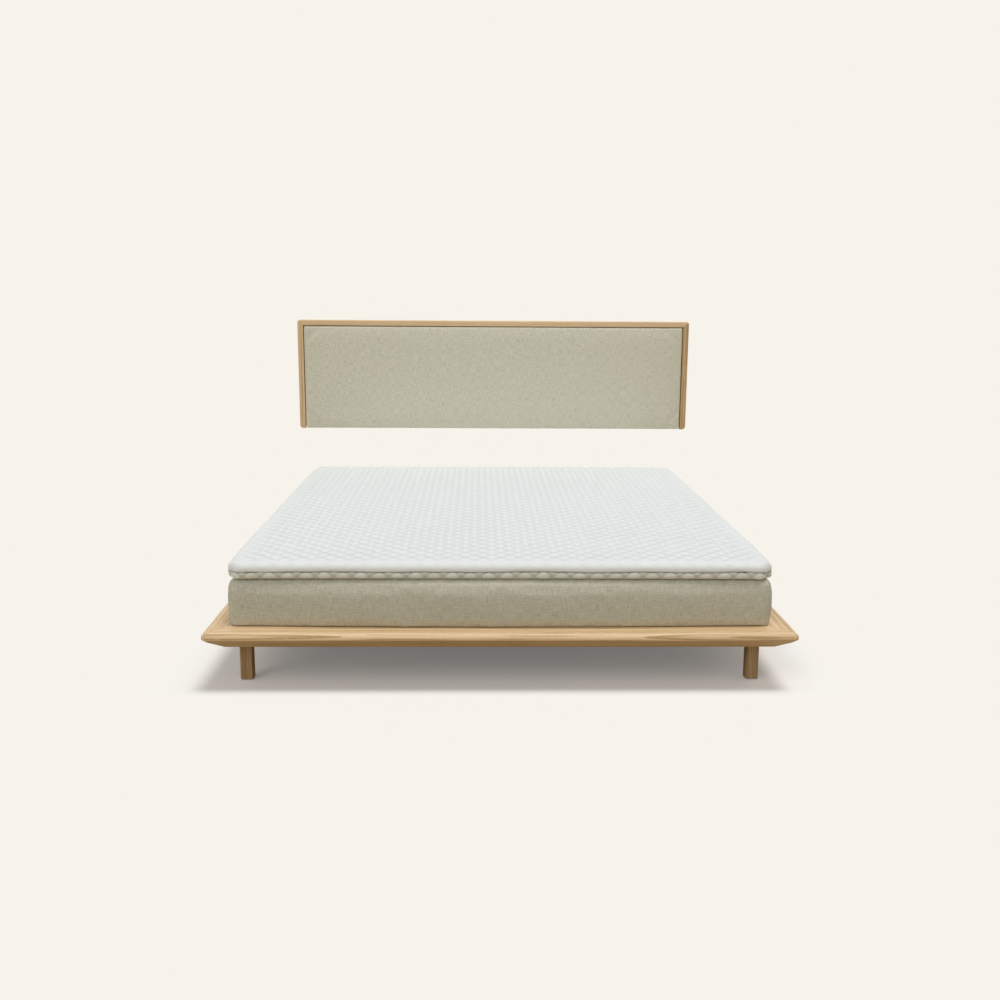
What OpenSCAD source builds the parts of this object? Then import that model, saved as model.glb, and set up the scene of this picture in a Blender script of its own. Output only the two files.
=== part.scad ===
// Low platform bed in solid oak with a wide, undercut border, a slatted deck,
// an upholstered frame mattress, a zipped topper and a padded headboard that hangs
// on the wall behind it. Millimetres, +Z up, +Y towards the headboard, origin on
// the floor under the middle of the bed.

/* [Platform] */
// Width of the mattress that the bed is made for
mattress_w = 1800; // [1400:50:2000]
// Length of the mattress that the bed is made for
mattress_l = 2000; // [1900:50:2200]
// Width of the oak border that shows round the mattress
border = 80; // [60:5:110]
// Width of each rail of the platform
rail_w = 150; // [145:5:180]
// Thickness of the rails
rail_t = 66; // [58:1:76]
// Radius of the rails' upper outer edge
nose_top_r = 20; // [14:1:24]
// Radius of the rails' lower outer edge
nose_low_r = 7; // [4:1:9]
// Width of the sloping undercut below the rounded edge
undercut_w = 65; // [40:1:80]
// Angle at which the rounded edge meets the undercut
crease_angle = 70; // [60:5:85]
// Radius of the platform's corners, seen from above
corner_r = 20; // [16:1:40]
// Width of the rebate that carries the slats
rebate_w = 25; // [15:1:28]

/* [Legs] */
// Height of the rails' underside above the floor
leg_h = 144; // [120:1:220]
// Side of the square legs
leg_side = 43; // [36:1:48]
// Radius of the legs' rounded edges
leg_edge_r = 6; // [3:1:10]
// Distance of the leg's centre from the outer edge of the side rail
leg_inset_x = 116; // [104:1:120]
// Distance of the leg's centre from the end of the bed
leg_inset_y = 162; // [150:1:260]
// Thickness of the felt glides
felt_t = 3; // [2:0.5:6]
// Distance of each middle leg from the middle of the bed
middle_leg_y = 380; // [200:10:520]

/* [Slatted deck] */
// How far the slatted deck stands above the oak border
deck_rise = 4; // [0:0.5:6]
// Number of slats
slat_count = 14; // [10:1:16]
// Width of a slat
slat_w = 75; // [50:1:85]
// Thickness of a slat
slat_t = 22; // [16:1:26]
// Radius of a slat's edges
slat_edge_r = 4; // [2:0.5:7]
// Width of the webbing that ties the slats
webbing_w = 30; // [20:1:40]
// Thickness of the webbing
webbing_t = 1.5; // [1:0.1:2.5]
// Distance of each webbing strap from the middle
webbing_x = 430; // [300:10:560]
// Width of the beam under the slats
beam_w = 45; // [42:1:60]
// Height of the beam under the slats
beam_h = 60; // [52:1:64]

/* [Mattress] */
// Height of the mattress's top above the oak border
mattress_h = 162; // [144:1:260]
// Radius of the mattress corners, seen from above
mattress_corner_r = 24; // [20:1:70]
// How far the mattress bulges in the middle of its sides and its foot end
mattress_bulge = 18; // [0:1:24]
// How far it bulges at the head end, where the wall is
mattress_bulge_head = 9; // [0:1:12]
// Radius of the mattress's top edge
mattress_top_r = 22; // [10:1:30]
// Radius of the mattress's bottom edge
mattress_bottom_r = 12; // [6:1:14]
// Thickness of the padded sides of the mattress cover
cover_wall = 26; // [20:1:34]
// Thickness of the padded top of the mattress cover
cover_top = 14; // [10:1:20]
// Height of the timber frame in the mattress
base_frame_h = 45; // [35:1:60]
// Thickness of the foam over the springs
comfort_foam_t = 22; // [15:1:40]

/* [Topper] */
// Thickness of the topper
topper_t = 62; // [58:1:80]
// Height of the middle of the topper's zip above its underside
zip_h = 26; // [24:0.5:30]
// How far the topper stands out over the mattress at each side
topper_overlap = 8; // [0:1:12]
// Radius of the topper's corners, seen from above
topper_corner_r = 60; // [40:1:90]
// Radius of the topper's top edge
topper_top_r = 20; // [10:0.5:24]
// Depth of the groove in which the zip lies
zip_groove = 8; // [6:0.5:11]
// Height of the visible zip
zip_t = 4; // [3:0.5:6]
// Distance of the parked zip slider from the topper's right side
slider_park = 104; // [70:2:400]

/* [Headboard] */
// Width of the headboard
headboard_w = 1970; // [1500:10:2100]
// Height of the headboard
headboard_h = 545; // [400:5:700]
// Height of the headboard's lower edge above the floor
headboard_z = 620; // [520:5:800]
// Width of the oak strips round the headboard
strip_w = 28; // [25:1:50]
// Depth of the oak strips
strip_d = 38; // [36:1:50]
// Radius of the headboard's upper corners
strip_corner_r = 13; // [8:1:24]
// Radius of the strips' front edges
strip_edge_r = 5; // [2:0.5:8]
// Radius of the strips' lower ends
strip_foot_r = 18; // [10:1:26]
// Gap between the upholstered panel and the strips
panel_gap = 3; // [1:0.5:5]
// Thickness of the foam in the upholstered panel
pad_foam_t = 13; // [10:1:20]
// Thickness of the cloth and wadding over the foam
pad_cover_t = 4; // [3:0.5:6]
// Distance between the wall and the strips' back
wall_gap = 16; // [14:1:26]
// Length of the hanging cleat on the wall
wall_cleat_l = 1400; // [1150:10:1440]
// Distance between the outer screw holes of the wall cleat
wall_hole_span = 1200; // [1000:10:1300]
// Radius of the screw holes in the wall cleat
wall_hole_r = 2.75; // [2:0.05:4]

/* [Hidden] */
$fn = 64;
touch = 0.3;            // clearance between soft pieces that lie on each other
slide = 1;              // clearance at the ends of slats and beams
fit = 0.1;              // radial clearance of bolts, screws and dowels
over = 1;               // how far cutters reach past a face

frame_w = mattress_w + 2 * border;
frame_l = mattress_l + 2 * border;
rebate_d = slat_t + webbing_t + 0.5 - deck_rise;
deck_z = leg_h + rail_t;
rebate_z = deck_z - rebate_d;
opening_w = frame_w - 2 * rail_w;
opening_l = frame_l - 2 * rail_w;

oak = "burlywood";
pine = "wheat";
steel = "silver";
linen = "darkkhaki";
knit = "whitesmoke";

// mitre joints and fastenings of the platform
dowel_r = 5;
dowel_l = 60;
dowel_u = [75, 112];
dowel_z = leg_h + rail_t / 2;
bracket_t = 4;
bracket_l = 72;
bracket_margin = 3;
bracket_h = rebate_z - leg_h - 2 * bracket_margin;
bracket_z = leg_h + bracket_margin;
bolt_r = 3;
bolt_l = 30;
bolt_head_r = 5.5;
bolt_head_h = 4;
bolt_at = [24, 54];
leg_bolt_r = 4;
leg_bolt_down = 45;
leg_bolt_up = 34;
insert_r = 6.5;
insert_l = 20;
felt_r = 13;

// beam and its hangers
beam_l = opening_l - 2 * slide;
beam_z = rebate_z - beam_h;
hanger_t = 3;
hanger_d = 40;
hanger_flange = 30;
hanger_screw_r = 2;
hanger_screw_l = 24;
hanger_screw_z = [7, 23];
hanger_side = beam_w / 2 + 0.4;

// slats
slat_l = opening_w + 2 * (rebate_w - slide);
slat_gap = (opening_l - slat_count * slat_w) / (slat_count + 1);
slat_pitch = slat_w + slat_gap;
slat_z = rebate_z;

// mattress, from its underside up
mattress_z = deck_z + deck_rise + touch;
mattress_top = deck_z + mattress_h;
cloth_t = 1;
cavity_w = mattress_w - 2 * cover_wall;
cavity_l = mattress_l - 2 * cover_wall;
cavity_top = mattress_top - cover_top;
core_w = cavity_w - 1;
core_l = cavity_l - 1;
side_crown = 6;         // how far the fullest part of the sides stands out
side_full = [0.3, 0.6]; // from where to where that is, as shares of the height
mattress_flat_in = 90;  // how far inside the edge the flat top begins
base_frame_z = mattress_z + cloth_t + touch;
base_bar_w = 45;
base_bar_count = 5;
spring_z = base_frame_z + base_frame_h + touch;
comfort_z = cavity_top - touch - comfort_foam_t;
spring_h = comfort_z - touch - spring_z;

// topper, from its underside up
topper_z = mattress_top + touch;
topper_w = mattress_w + 2 * topper_overlap;
topper_l = mattress_l + 2 * topper_overlap;
topper_top = topper_z + topper_t;
topper_wall = 24;
topper_floor = 6;
topper_lid = 8;
topper_bottom_r = 8;
topper_crown = 4;       // how much higher the middle is than the edge
topper_crown_in = [60, 200];    // where it has risen by a quarter and by half of that
zip_z = topper_z + zip_h - zip_t / 2;
zip_top = zip_z + zip_t;
zip_in = zip_groove - 1.5;
zip_w = 7;
zip_roll = 10;
topper_core_w = topper_w - 2 * topper_wall - 1;
topper_core_l = topper_l - 2 * topper_wall - 1;
topper_core_r = 30;
slider_l = 11;
slider_h = 6;
slider_x = topper_w / 2 - slider_park;
slider_proud = 1.2;

// headboard, from the wall forwards
wall_y = frame_l / 2;
strip_back = wall_y - wall_gap;
strip_front = strip_back - strip_d;
headboard_top = headboard_z + headboard_h;
back_panel_t = 12;
back_panel_y = strip_back - back_panel_t - 2;
back_panel_lap = 12;
pad_board_t = 9;
pad_board_y = back_panel_y - pad_board_t;
pad_foam_y = pad_board_y - touch - pad_foam_t;
pad_w = headboard_w - 2 * (strip_w + panel_gap);
pad_bottom = headboard_z + 1;
pad_h = headboard_top - strip_w - panel_gap - pad_bottom;
pad_corner_r = 8;
pad_side = 9;
pad_roll = 9;
pad_crown = 1.5;
pad_crown_in = 40;      // how far inside the edge the crown is half as high
pad_front = pad_foam_y - pad_cover_t;
cleat_t = 15;
cleat_h = 70;
cleat_drop = 165;
cleat_z = headboard_top - cleat_drop;
cleat_gap = 0.3;
cleat_play = 2.5;       // clearance between the back panel and the wall cleat
wall_play = 0.5;        // clearance between the headboard's battens and the wall
cleat_screw_at = [-0.42, -0.14, 0.14, 0.42];    // as shares of the cleat's length
cleat_screw_up = 0.65;  // as a share of the cleat's height
cleat_overhang = 50;
headboard_cleat_l = wall_cleat_l + 2 * cleat_overhang;
cleat_front = back_panel_y + back_panel_t;
inner_hole_share = 1 / 3;
wall_hole_z = cleat_z - cleat_h / 2;
spacer_h = 45;
spacer_rise = 40;
spacer_z = headboard_z + spacer_rise;
panel_screw_r = 2;
panel_screw_l = 24;

function two(name) = [for (side = ["left", "right"]) str(name, "_", side)];
slat_names = [for (i = [1:slat_count]) str("slat_", i < 10 ? "0" : "", i)];
leg_names = ["leg_foot_left", "leg_foot_right", "leg_head_left", "leg_head_right"];
bracket_names = ["corner_bracket_foot_left", "corner_bracket_foot_right",
    "corner_bracket_head_left", "corner_bracket_head_right"];

// Helpers

function corner_x(i) = i % 2 == 0 ? -1 : 1;
function corner_y(i) = i < 2 ? -1 : 1;

// Cuts a square corner of a section at the origin down to a round one.
module round_off(r) {
    difference() {
        translate([-over, -over])
            square(r + over);
        translate([r, r])
            circle(r);
    }
}

// The part of the plane on the outer side of a turning axis, past a section w by h.
module outside_axis(w, h) {
    translate([0, -over])
        square([w + over, h + 2 * over]);
}

module rounded_rect(w, d, r) {
    difference() {
        translate([-w / 2, -d / 2])
            square([w, d]);
        for (a = [0:3])
            rotate(90 * a)
                translate(a % 2 == 0 ? [-w / 2, -d / 2] : [-d / 2, -w / 2])
                    round_off(r);
    }
}

// Extrudes a section along +X: its own X becomes Y and its own Y becomes Z.
module along_x(l) {
    rotate([90, 0, 90])
        linear_extrude(l)
            children();
}

module screw(r, l, head_r, head_h) {
    cylinder(h = l, r = r);
    translate([0, 0, -head_h])
        cylinder(h = head_h, r = head_r);
}

// Soft forms: rings of points, one above the other, closed at both ends

arc_steps = 5;
side_steps = 7;

// A rounded rectangle of half sizes hx and hy, bowed out in the middle of each side
// by bulge: at the sides, at the foot end and at the head end.
function bowed(p, hx, hy, bulge) = [
    p[0] * (1 + bulge[0] / hx * (1 - pow(min(abs(p[1]) / hy, 1), 2))),
    p[1] * (1 + bulge[p[1] < 0 ? 1 : 2] / hy * (1 - pow(min(abs(p[0]) / hx, 1), 2)))];
function corner_point(hx, hy, r, k, a) =
    [(k == 0 || k == 3 ? 1 : -1) * (hx - r) + r * cos(90 * k + a),
     (k < 2 ? 1 : -1) * (hy - r) + r * sin(90 * k + a)];
function outline(hx, hy, r) = [
    for (k = [0:3])
        each concat(
            [for (i = [0:arc_steps]) corner_point(hx, hy, r, k, 90 * i / arc_steps)],
            [for (i = [1:side_steps])
                let (from = corner_point(hx, hy, r, k, 90),
                     to = corner_point(hx, hy, r, (k + 1) % 4, 0))
                from + (to - from) * i / (side_steps + 1)])];

// Each level is [height, inset, share of the bulge]; a large inset closes the form.
module soft_form(w, l, r, levels, crown = 0, bulge = [0, 0, 0]) {
    hx = w / 2;
    hy = l / 2;
    loops = [for (v = levels)
        let (ax = hx - v[1], ay = hy - v[1])
        [for (p = outline(ax, ay, max(r - v[1], 2)))
            let (q = bowed(p, ax, ay, v[2] * bulge)) [q[0], q[1], v[0]]]];
    n = len(loops[0]);
    m = len(loops);
    flat = [for (loop = loops) each loop];
    points = concat(flat, [[0, 0, levels[0][0]], [0, 0, levels[m - 1][0] + crown]]);
    sides = [for (j = [0:m - 2], i = [0:n - 1])
        let (a = j * n + i, b = j * n + (i + 1) % n)
        each [[a, b + n, b], [a, a + n, b + n]]];
    bottom = [for (i = [0:n - 1]) [i, (i + 1) % n, m * n]];
    top = [for (i = [0:n - 1]) [(m - 1) * n + (i + 1) % n, (m - 1) * n + i, m * n + 1]];
    polyhedron(points, concat(sides, bottom, top), convexity = 4);
}

// Levels along a quarter circle of radius r, from a side up to a top or down to a base.
function rolled_up(z, r, inset = 0, steps = 4) = [
    for (i = [0:steps]) let (a = 90 * i / steps)
        [z - r + r * sin(a), inset + r * (1 - cos(a)), 1 - 0.2 * i / steps]];
function rolled_under(z, r, inset = 0, steps = 3) = [
    for (i = [0:steps]) let (a = 90 * (1 - i / steps))
        [z + r - r * sin(a), inset + r * (1 - cos(a)), 1]];

// Platform rails

// Section of a rail: u runs inwards from the outer edge, v up from the underside. Its
// outer edge is a large quarter circle above a small one, as far as the crease.
module rail_section() {
    nose_v = rail_t - nose_top_r;
    crease = [nose_low_r * (1 - cos(crease_angle)), nose_v - nose_low_r * sin(crease_angle)];
    foot = [undercut_w, 0];
    in_nose = crease + (crease - foot) * nose_low_r / 4 / norm(crease - foot);
    intersection() {
        translate([nose_top_r, nose_v])
            circle(nose_top_r);
        translate([0, nose_v])
            square(nose_top_r);
    }
    intersection() {
        translate([nose_low_r, nose_v])
            circle(nose_low_r);
        translate([0, nose_v - nose_low_r])
            square(nose_low_r);
    }
    polygon([in_nose, foot, [rail_w, 0], [rail_w, rail_t - rebate_d],
        [rail_w - rebate_w, rail_t - rebate_d], [rail_w - rebate_w, rail_t],
        [nose_top_r, rail_t], [nose_top_r, nose_v], [nose_low_r, nose_v]]);
}

// The outer corner: the section turned about a vertical axis, up to the mitre.
module rail_corner() {
    translate([corner_r, corner_r, leg_h])
        rotate(-90)
            mirror([0, 1, 0])
                rotate_extrude(angle = 45)
                    intersection() {
                        translate([corner_r, 0])
                            mirror([1, 0])
                                rail_section();
                        outside_axis(corner_r, rail_t);
                    }
}

module mitre_dowel(l, r) {
    rotate([0, 90, 0])
        translate([0, 0, -l / 2])
            cylinder(h = l, r = r);
}

// Dowel places at the start of a rail, where its mitre runs at 45 degrees.
module at_start_dowels() {
    for (u = dowel_u)
        translate([u, u, dowel_z])
            rotate(-45)
                children();
}

// A rail along +X with its outer edge on the X axis and mitred at both ends.
module rail(l, has_legs, has_hanger) {
    difference() {
        union() {
            intersection() {
                translate([corner_r, 0, leg_h])
                    along_x(l - 2 * corner_r)
                        rail_section();
                translate([0, 0, leg_h - over])
                    linear_extrude(rail_t + 2 * over)
                        polygon([[-over, -over], [l + over, -over],
                            [l - rail_w - over, rail_w + over],
                            [rail_w + over, rail_w + over]]);
            }
            rail_corner();
            translate([l, 0, 0])
                mirror([1, 0, 0])
                    rail_corner();
        }
        at_start_dowels()
            mitre_dowel(dowel_l + 2, dowel_r + fit);
        translate([l, 0, 0])
            mirror([1, 0, 0])
                at_start_dowels()
                    mitre_dowel(dowel_l + 2, dowel_r + fit);
        for (at = bolt_at, s = [rail_w + at, l - rail_w - at])
            translate([s, rail_w + over, bracket_z + bracket_h / 2])
                rotate([90, 0, 0])
                    cylinder(h = bolt_l + over, r = bolt_r + fit);
        if (has_legs)
            for (s = [leg_inset_y, l - leg_inset_y])
                translate([s, leg_inset_x, leg_h - over])
                    cylinder(h = leg_bolt_up + 2 + over, r = insert_r + fit);
        if (has_hanger)
            for (side = [-1, 1], z = hanger_screw_z)
                translate([l / 2 + side * (hanger_side + hanger_t + hanger_flange / 2),
                    rail_w + over, bracket_z + z])
                    rotate([90, 0, 0])
                        cylinder(h = hanger_screw_l + over, r = hanger_screw_r + fit);
    }
}

module rail_foot() {
    color(oak)
        translate([-frame_w / 2, -frame_l / 2, 0])
            rail(frame_w, false, true);
}

module rail_head() {
    color(oak)
        translate([frame_w / 2, frame_l / 2, 0])
            rotate(180)
                rail(frame_w, false, true);
}

module rail_right() {
    color(oak)
        translate([frame_w / 2, -frame_l / 2, 0])
            rotate(90)
                rail(frame_l, true, false);
}

module rail_left() {
    color(oak)
        translate([-frame_w / 2, frame_l / 2, 0])
            rotate(-90)
                rail(frame_l, true, false);
}

module mitre_dowels() {
    color(pine)
        for (i = [0:3])
            translate([corner_x(i) * frame_w / 2, corner_y(i) * frame_l / 2, 0])
                mirror([corner_x(i) > 0 ? 1 : 0, 0, 0])
                    mirror([0, corner_y(i) > 0 ? 1 : 0, 0])
                        at_start_dowels()
                            mitre_dowel(dowel_l, dowel_r);
}

// Puts a piece made for the foot left inner corner into corner i.
module at_inner_corner(i) {
    mirror([corner_x(i) > 0 ? 1 : 0, 0, 0])
        mirror([0, corner_y(i) > 0 ? 1 : 0, 0])
            translate([-opening_w / 2, -opening_l / 2, bracket_z])
                children();
}

module bracket_holes() {
    for (at = bolt_at) {
        translate([at, -over, bracket_h / 2])
            rotate([-90, 0, 0])
                cylinder(h = bracket_t + 2 * over, r = bolt_r + fit);
        translate([-over, at, bracket_h / 2])
            rotate([0, 90, 0])
                cylinder(h = bracket_t + 2 * over, r = bolt_r + fit);
    }
}

module corner_bracket(i) {
    color(steel)
        at_inner_corner(i)
            difference() {
                linear_extrude(bracket_h)
                    difference() {
                        square(bracket_l);
                        translate([bracket_t, bracket_t])
                            square(bracket_l);
                    }
                bracket_holes();
            }
}

module bracket_bolt() {
    screw(bolt_r, bolt_l + bracket_t - 1, bolt_head_r, bolt_head_h);
}

module bracket_bolts() {
    color(steel)
        for (i = [0:3])
            at_inner_corner(i)
                for (at = bolt_at) {
                    translate([at, bracket_t, bracket_h / 2])
                        rotate([90, 0, 0])
                            bracket_bolt();
                    translate([bracket_t, at, bracket_h / 2])
                        rotate([0, -90, 0])
                            bracket_bolt();
                }
}

// Legs

// A square leg that stands on its felt glide, with a bolt hole in its top.
module leg(top_z) {
    h = top_z - felt_t;
    translate([0, 0, felt_t])
        difference() {
            intersection() {
                linear_extrude(h)
                    rounded_rect(leg_side, leg_side, leg_edge_r);
                for (turn = [0, 90])
                    rotate(turn)
                        leg_side_view(h);
            }
            translate([0, 0, h - leg_bolt_down - 2])
                cylinder(h = leg_bolt_down + 2 + over, r = leg_bolt_r + fit);
        }
}

// The leg seen from one side, with its lower edges rounded.
module leg_side_view(h) {
    rotate([90, 0, 0])
        translate([0, 0, -leg_side])
            linear_extrude(2 * leg_side)
                difference() {
                    translate([-leg_side / 2, 0])
                        square([leg_side, h + over]);
                    for (side = [0, 1])
                        mirror([side, 0])
                            translate([-leg_side / 2, 0])
                                round_off(leg_edge_r);
                }
}

function leg_place(i) = [corner_x(i) * (frame_w / 2 - leg_inset_x),
    corner_y(i) * (frame_l / 2 - leg_inset_y), 0];
middle_places = [[0, -middle_leg_y, 0], [0, middle_leg_y, 0]];

module corner_leg(i) {
    color(oak)
        translate(leg_place(i))
            leg(leg_h);
}

module middle_leg(i) {
    color(oak)
        translate(middle_places[i])
            leg(beam_z);
}

module at_leg_tops() {
    for (i = [0:3])
        translate(leg_place(i) + [0, 0, leg_h])
            children();
    for (p = middle_places)
        translate(p + [0, 0, beam_z])
            children();
}

module leg_bolts() {
    color(steel)
        at_leg_tops()
            translate([0, 0, -leg_bolt_down])
                cylinder(h = leg_bolt_down + leg_bolt_up, r = leg_bolt_r);
}

module leg_inserts() {
    color("goldenrod")
        at_leg_tops()
            difference() {
                cylinder(h = insert_l, r = insert_r);
                translate([0, 0, -over])
                    cylinder(h = insert_l + 2 * over, r = leg_bolt_r + fit);
            }
}

module felt_glides() {
    color("dimgray") {
        for (i = [0:3])
            translate(leg_place(i))
                cylinder(h = felt_t, r = felt_r);
        for (p = middle_places)
            translate(p)
                cylinder(h = felt_t, r = felt_r);
    }
}

// Beam, hangers and slats

module slat_beam() {
    color(pine)
        difference() {
            translate([-beam_w / 2, -beam_l / 2, beam_z])
                cube([beam_w, beam_l, beam_h]);
            for (p = middle_places)
                translate(p + [0, 0, beam_z - over])
                    cylinder(h = leg_bolt_up + 2 + over, r = insert_r + fit);
        }
}

// A bent steel strap that the beam lies in, with a flange at each side.
module beam_hanger(side) {
    color(steel)
        mirror([0, side > 0 ? 1 : 0, 0])
            translate([0, -opening_l / 2, 0])
                difference() {
                    union() {
                        translate([-hanger_side - hanger_t, 0, beam_z - hanger_t])
                            cube([2 * (hanger_side + hanger_t), hanger_d, hanger_t]);
                        for (turn = [0, 1])
                            mirror([turn, 0, 0]) {
                                translate([hanger_side, 0, beam_z - hanger_t])
                                    cube([hanger_t, hanger_d,
                                        bracket_z + bracket_h - beam_z + hanger_t]);
                                translate([hanger_side, 0, bracket_z])
                                    cube([hanger_t + hanger_flange, hanger_t, bracket_h]);
                            }
                    }
                    hanger_screw_places()
                        translate([0, 0, -hanger_t - over])
                            cylinder(h = hanger_t + 2 * over, r = hanger_screw_r + fit);
                }
}

// Screw places on the face of the rail, pointing into the wood.
module hanger_screw_places() {
    for (turn = [-1, 1], z = hanger_screw_z)
        translate([turn * (hanger_side + hanger_t + hanger_flange / 2), 0, bracket_z + z])
            rotate([90, 0, 0])
                children();
}

module hanger_screws() {
    color(steel)
        for (end = [0, 1])
            mirror([0, end, 0])
                translate([0, -opening_l / 2, 0])
                    hanger_screw_places()
                        translate([0, 0, -hanger_t])
                            screw(hanger_screw_r, hanger_screw_l + hanger_t - 1,
                                2 * hanger_screw_r, 2);
}

module slat(i) {
    color(pine)
        translate([-slat_l / 2, -opening_l / 2 + slat_gap + slat_w / 2 + i * slat_pitch,
            slat_z + slat_t / 2])
            along_x(slat_l)
                rounded_rect(slat_w, slat_t, slat_edge_r);
}

module webbing(side) {
    l = (slat_count - 1) * slat_pitch + slat_w - 2 * slat_edge_r;
    color("ivory")
        translate([side * webbing_x - webbing_w / 2, -l / 2, slat_z + slat_t])
            cube([webbing_w, l, webbing_t]);
}

// Mattress

module mattress_cover() {
    levels = concat(
        rolled_under(mattress_z, mattress_bottom_r),
        [for (share = side_full) [mattress_z + mattress_h * share, -side_crown, 1]],
        rolled_up(mattress_top, mattress_top_r, steps = 5),
        [[mattress_top, mattress_flat_in, 0]]);
    color(linen)
        difference() {
            soft_form(mattress_w, mattress_l, mattress_corner_r, levels,
                bulge = [mattress_bulge, mattress_bulge, mattress_bulge_head]);
            translate([-cavity_w / 2, -cavity_l / 2, mattress_z - over])
                cube([cavity_w, cavity_l, cavity_top - mattress_z + over]);
        }
}

module slab(w, l, z, h) {
    translate([-w / 2, -l / 2, z])
        cube([w, l, h]);
}

module mattress_dust_cloth() {
    color("dimgray")
        slab(core_w, core_l, mattress_z, cloth_t);
}

// The timber frame that stiffens the mattress: a rim with cross bars.
module mattress_base_frame() {
    bar_pitch = (core_l - base_bar_w) / (base_bar_count + 1);
    color(pine) {
        difference() {
            slab(core_w, core_l, base_frame_z, base_frame_h);
            slab(core_w - 2 * base_bar_w, core_l - 2 * base_bar_w,
                base_frame_z - over, base_frame_h + 2 * over);
        }
        for (i = [1:base_bar_count])
            translate([0, -core_l / 2 + base_bar_w / 2 + i * bar_pitch, 0])
                slab(core_w - 2 * base_bar_w, base_bar_w, base_frame_z, base_frame_h);
    }
}

module mattress_spring_unit() {
    color("gainsboro")
        slab(core_w, core_l, spring_z, spring_h);
}

module mattress_comfort_foam() {
    color("lightyellow")
        slab(core_w, core_l, comfort_z, comfort_foam_t);
}

// Topper

// Levels that roll from the side in to the zip groove, going up or coming out of it.
function into_groove(z, sign, steps = 3) = [
    for (i = [0:steps]) let (a = 90 * i / steps)
        [z - sign * zip_roll * (1 - sin(a)), zip_groove * (1 - cos(a)), 0]];

module topper_base_cover() {
    levels = concat(
        rolled_under(topper_z, topper_bottom_r),
        into_groove(zip_z, 1));
    color("lightgray")
        difference() {
            soft_form(topper_w, topper_l, topper_corner_r, levels);
            translate([0, 0, topper_z + topper_floor])
                linear_extrude(topper_t)
                    rounded_rect(topper_w - 2 * topper_wall, topper_l - 2 * topper_wall,
                        topper_core_r);
        }
}

module topper_top_cover() {
    out = into_groove(zip_top, -1);
    levels = concat(
        [for (i = [len(out) - 1:-1:0]) out[i]],
        rolled_up(topper_top, topper_top_r, steps = 5),
        [[topper_top + topper_crown / 4, topper_crown_in[0], 0],
            [topper_top + topper_crown / 2, topper_crown_in[1], 0]]);
    color(knit)
        difference() {
            soft_form(topper_w, topper_l, topper_corner_r, levels,
                crown = topper_crown / 2);
            translate([0, 0, zip_top - over])
                linear_extrude(topper_top - topper_lid - zip_top + over)
                    rounded_rect(topper_w - 2 * topper_wall, topper_l - 2 * topper_wall,
                        topper_core_r);
        }
}

module topper_zip() {
    outer_w = topper_w - 2 * zip_in;
    outer_l = topper_l - 2 * zip_in;
    outer_r = topper_corner_r - zip_in;
    color("gray")
        translate([0, 0, zip_z])
            linear_extrude(zip_t)
                difference() {
                    rounded_rect(outer_w, outer_l, outer_r);
                    rounded_rect(outer_w - 2 * zip_w, outer_l - 2 * zip_w,
                        outer_r - zip_w);
                }
}

// The slider runs in the groove along the foot side: a thin back between the covers
// and a thicker front where the groove opens.
module zip_slider() {
    back_y = -topper_l / 2 + zip_in - touch;
    front_d = zip_groove / 2 - slider_proud;
    back_h = zip_t - 2 * touch;
    color(steel)
        translate([slider_x, 0, zip_z + zip_t / 2]) {
            translate([-slider_l / 2, back_y - zip_groove / 4 - touch, -back_h / 2])
                cube([slider_l, zip_groove / 4 + touch, back_h]);
            translate([0, -topper_l / 2 + slider_proud + front_d / 2, -slider_h / 2])
                linear_extrude(slider_h)
                    rounded_rect(slider_l + 2, front_d, front_d / 3);
        }
}

module topper_core() {
    color("lightyellow")
        translate([0, 0, topper_z + topper_floor + touch])
            linear_extrude(topper_t - topper_floor - topper_lid - 2 * touch)
                rounded_rect(topper_core_w, topper_core_l, topper_core_r);
}

// Headboard

// Section of an oak strip: its outer side at x = 0 and its front at y = 0.
module strip_section() {
    difference() {
        square([strip_w, strip_d]);
        round_off(strip_edge_r);
        translate([strip_w, 0])
            mirror([1, 0])
                round_off(strip_edge_r / 2);
        translate([strip_w - back_panel_lap, strip_d - back_panel_t - 2])
            square([back_panel_lap + over, back_panel_t + 2 + over]);
    }
}

// Half of the rounded upper left corner, seen from the front: from the top strip's
// end to the mitre, or mirrored into the half that belongs to the side strip.
module strip_corner(of_side) {
    translate([strip_corner_r - headboard_w / 2, strip_back, headboard_top - strip_corner_r])
        rotate([90, 0, 0])
            rotate(of_side ? 0 : 90)
                mirror([of_side ? 1 : 0, 0, 0])
                    rotate_extrude(angle = 45)
                        intersection() {
                            translate([strip_corner_r, strip_d])
                                rotate(180)
                                    strip_section();
                            outside_axis(strip_corner_r, strip_d);
                        }
}

module left_strip() {
    x = -headboard_w / 2;
    intersection() {
        translate([x, strip_front, headboard_z])
            linear_extrude(headboard_h - strip_corner_r)
                strip_section();
        rotate([90, 0, 0])
            translate([0, 0, -wall_y])
                linear_extrude(2 * strip_d + wall_gap)
                    difference() {
                        polygon([[x, headboard_z], [x + strip_w + over, headboard_z],
                            [x + strip_w + over, headboard_top - strip_w - over],
                            [x, headboard_top]]);
                        translate([x, headboard_z])
                            round_off(strip_foot_r);
                    }
    }
    strip_corner(true);
}

module headboard_strip(side) {
    color(oak)
        mirror([side > 0 ? 1 : 0, 0, 0])
            left_strip();
}

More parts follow.
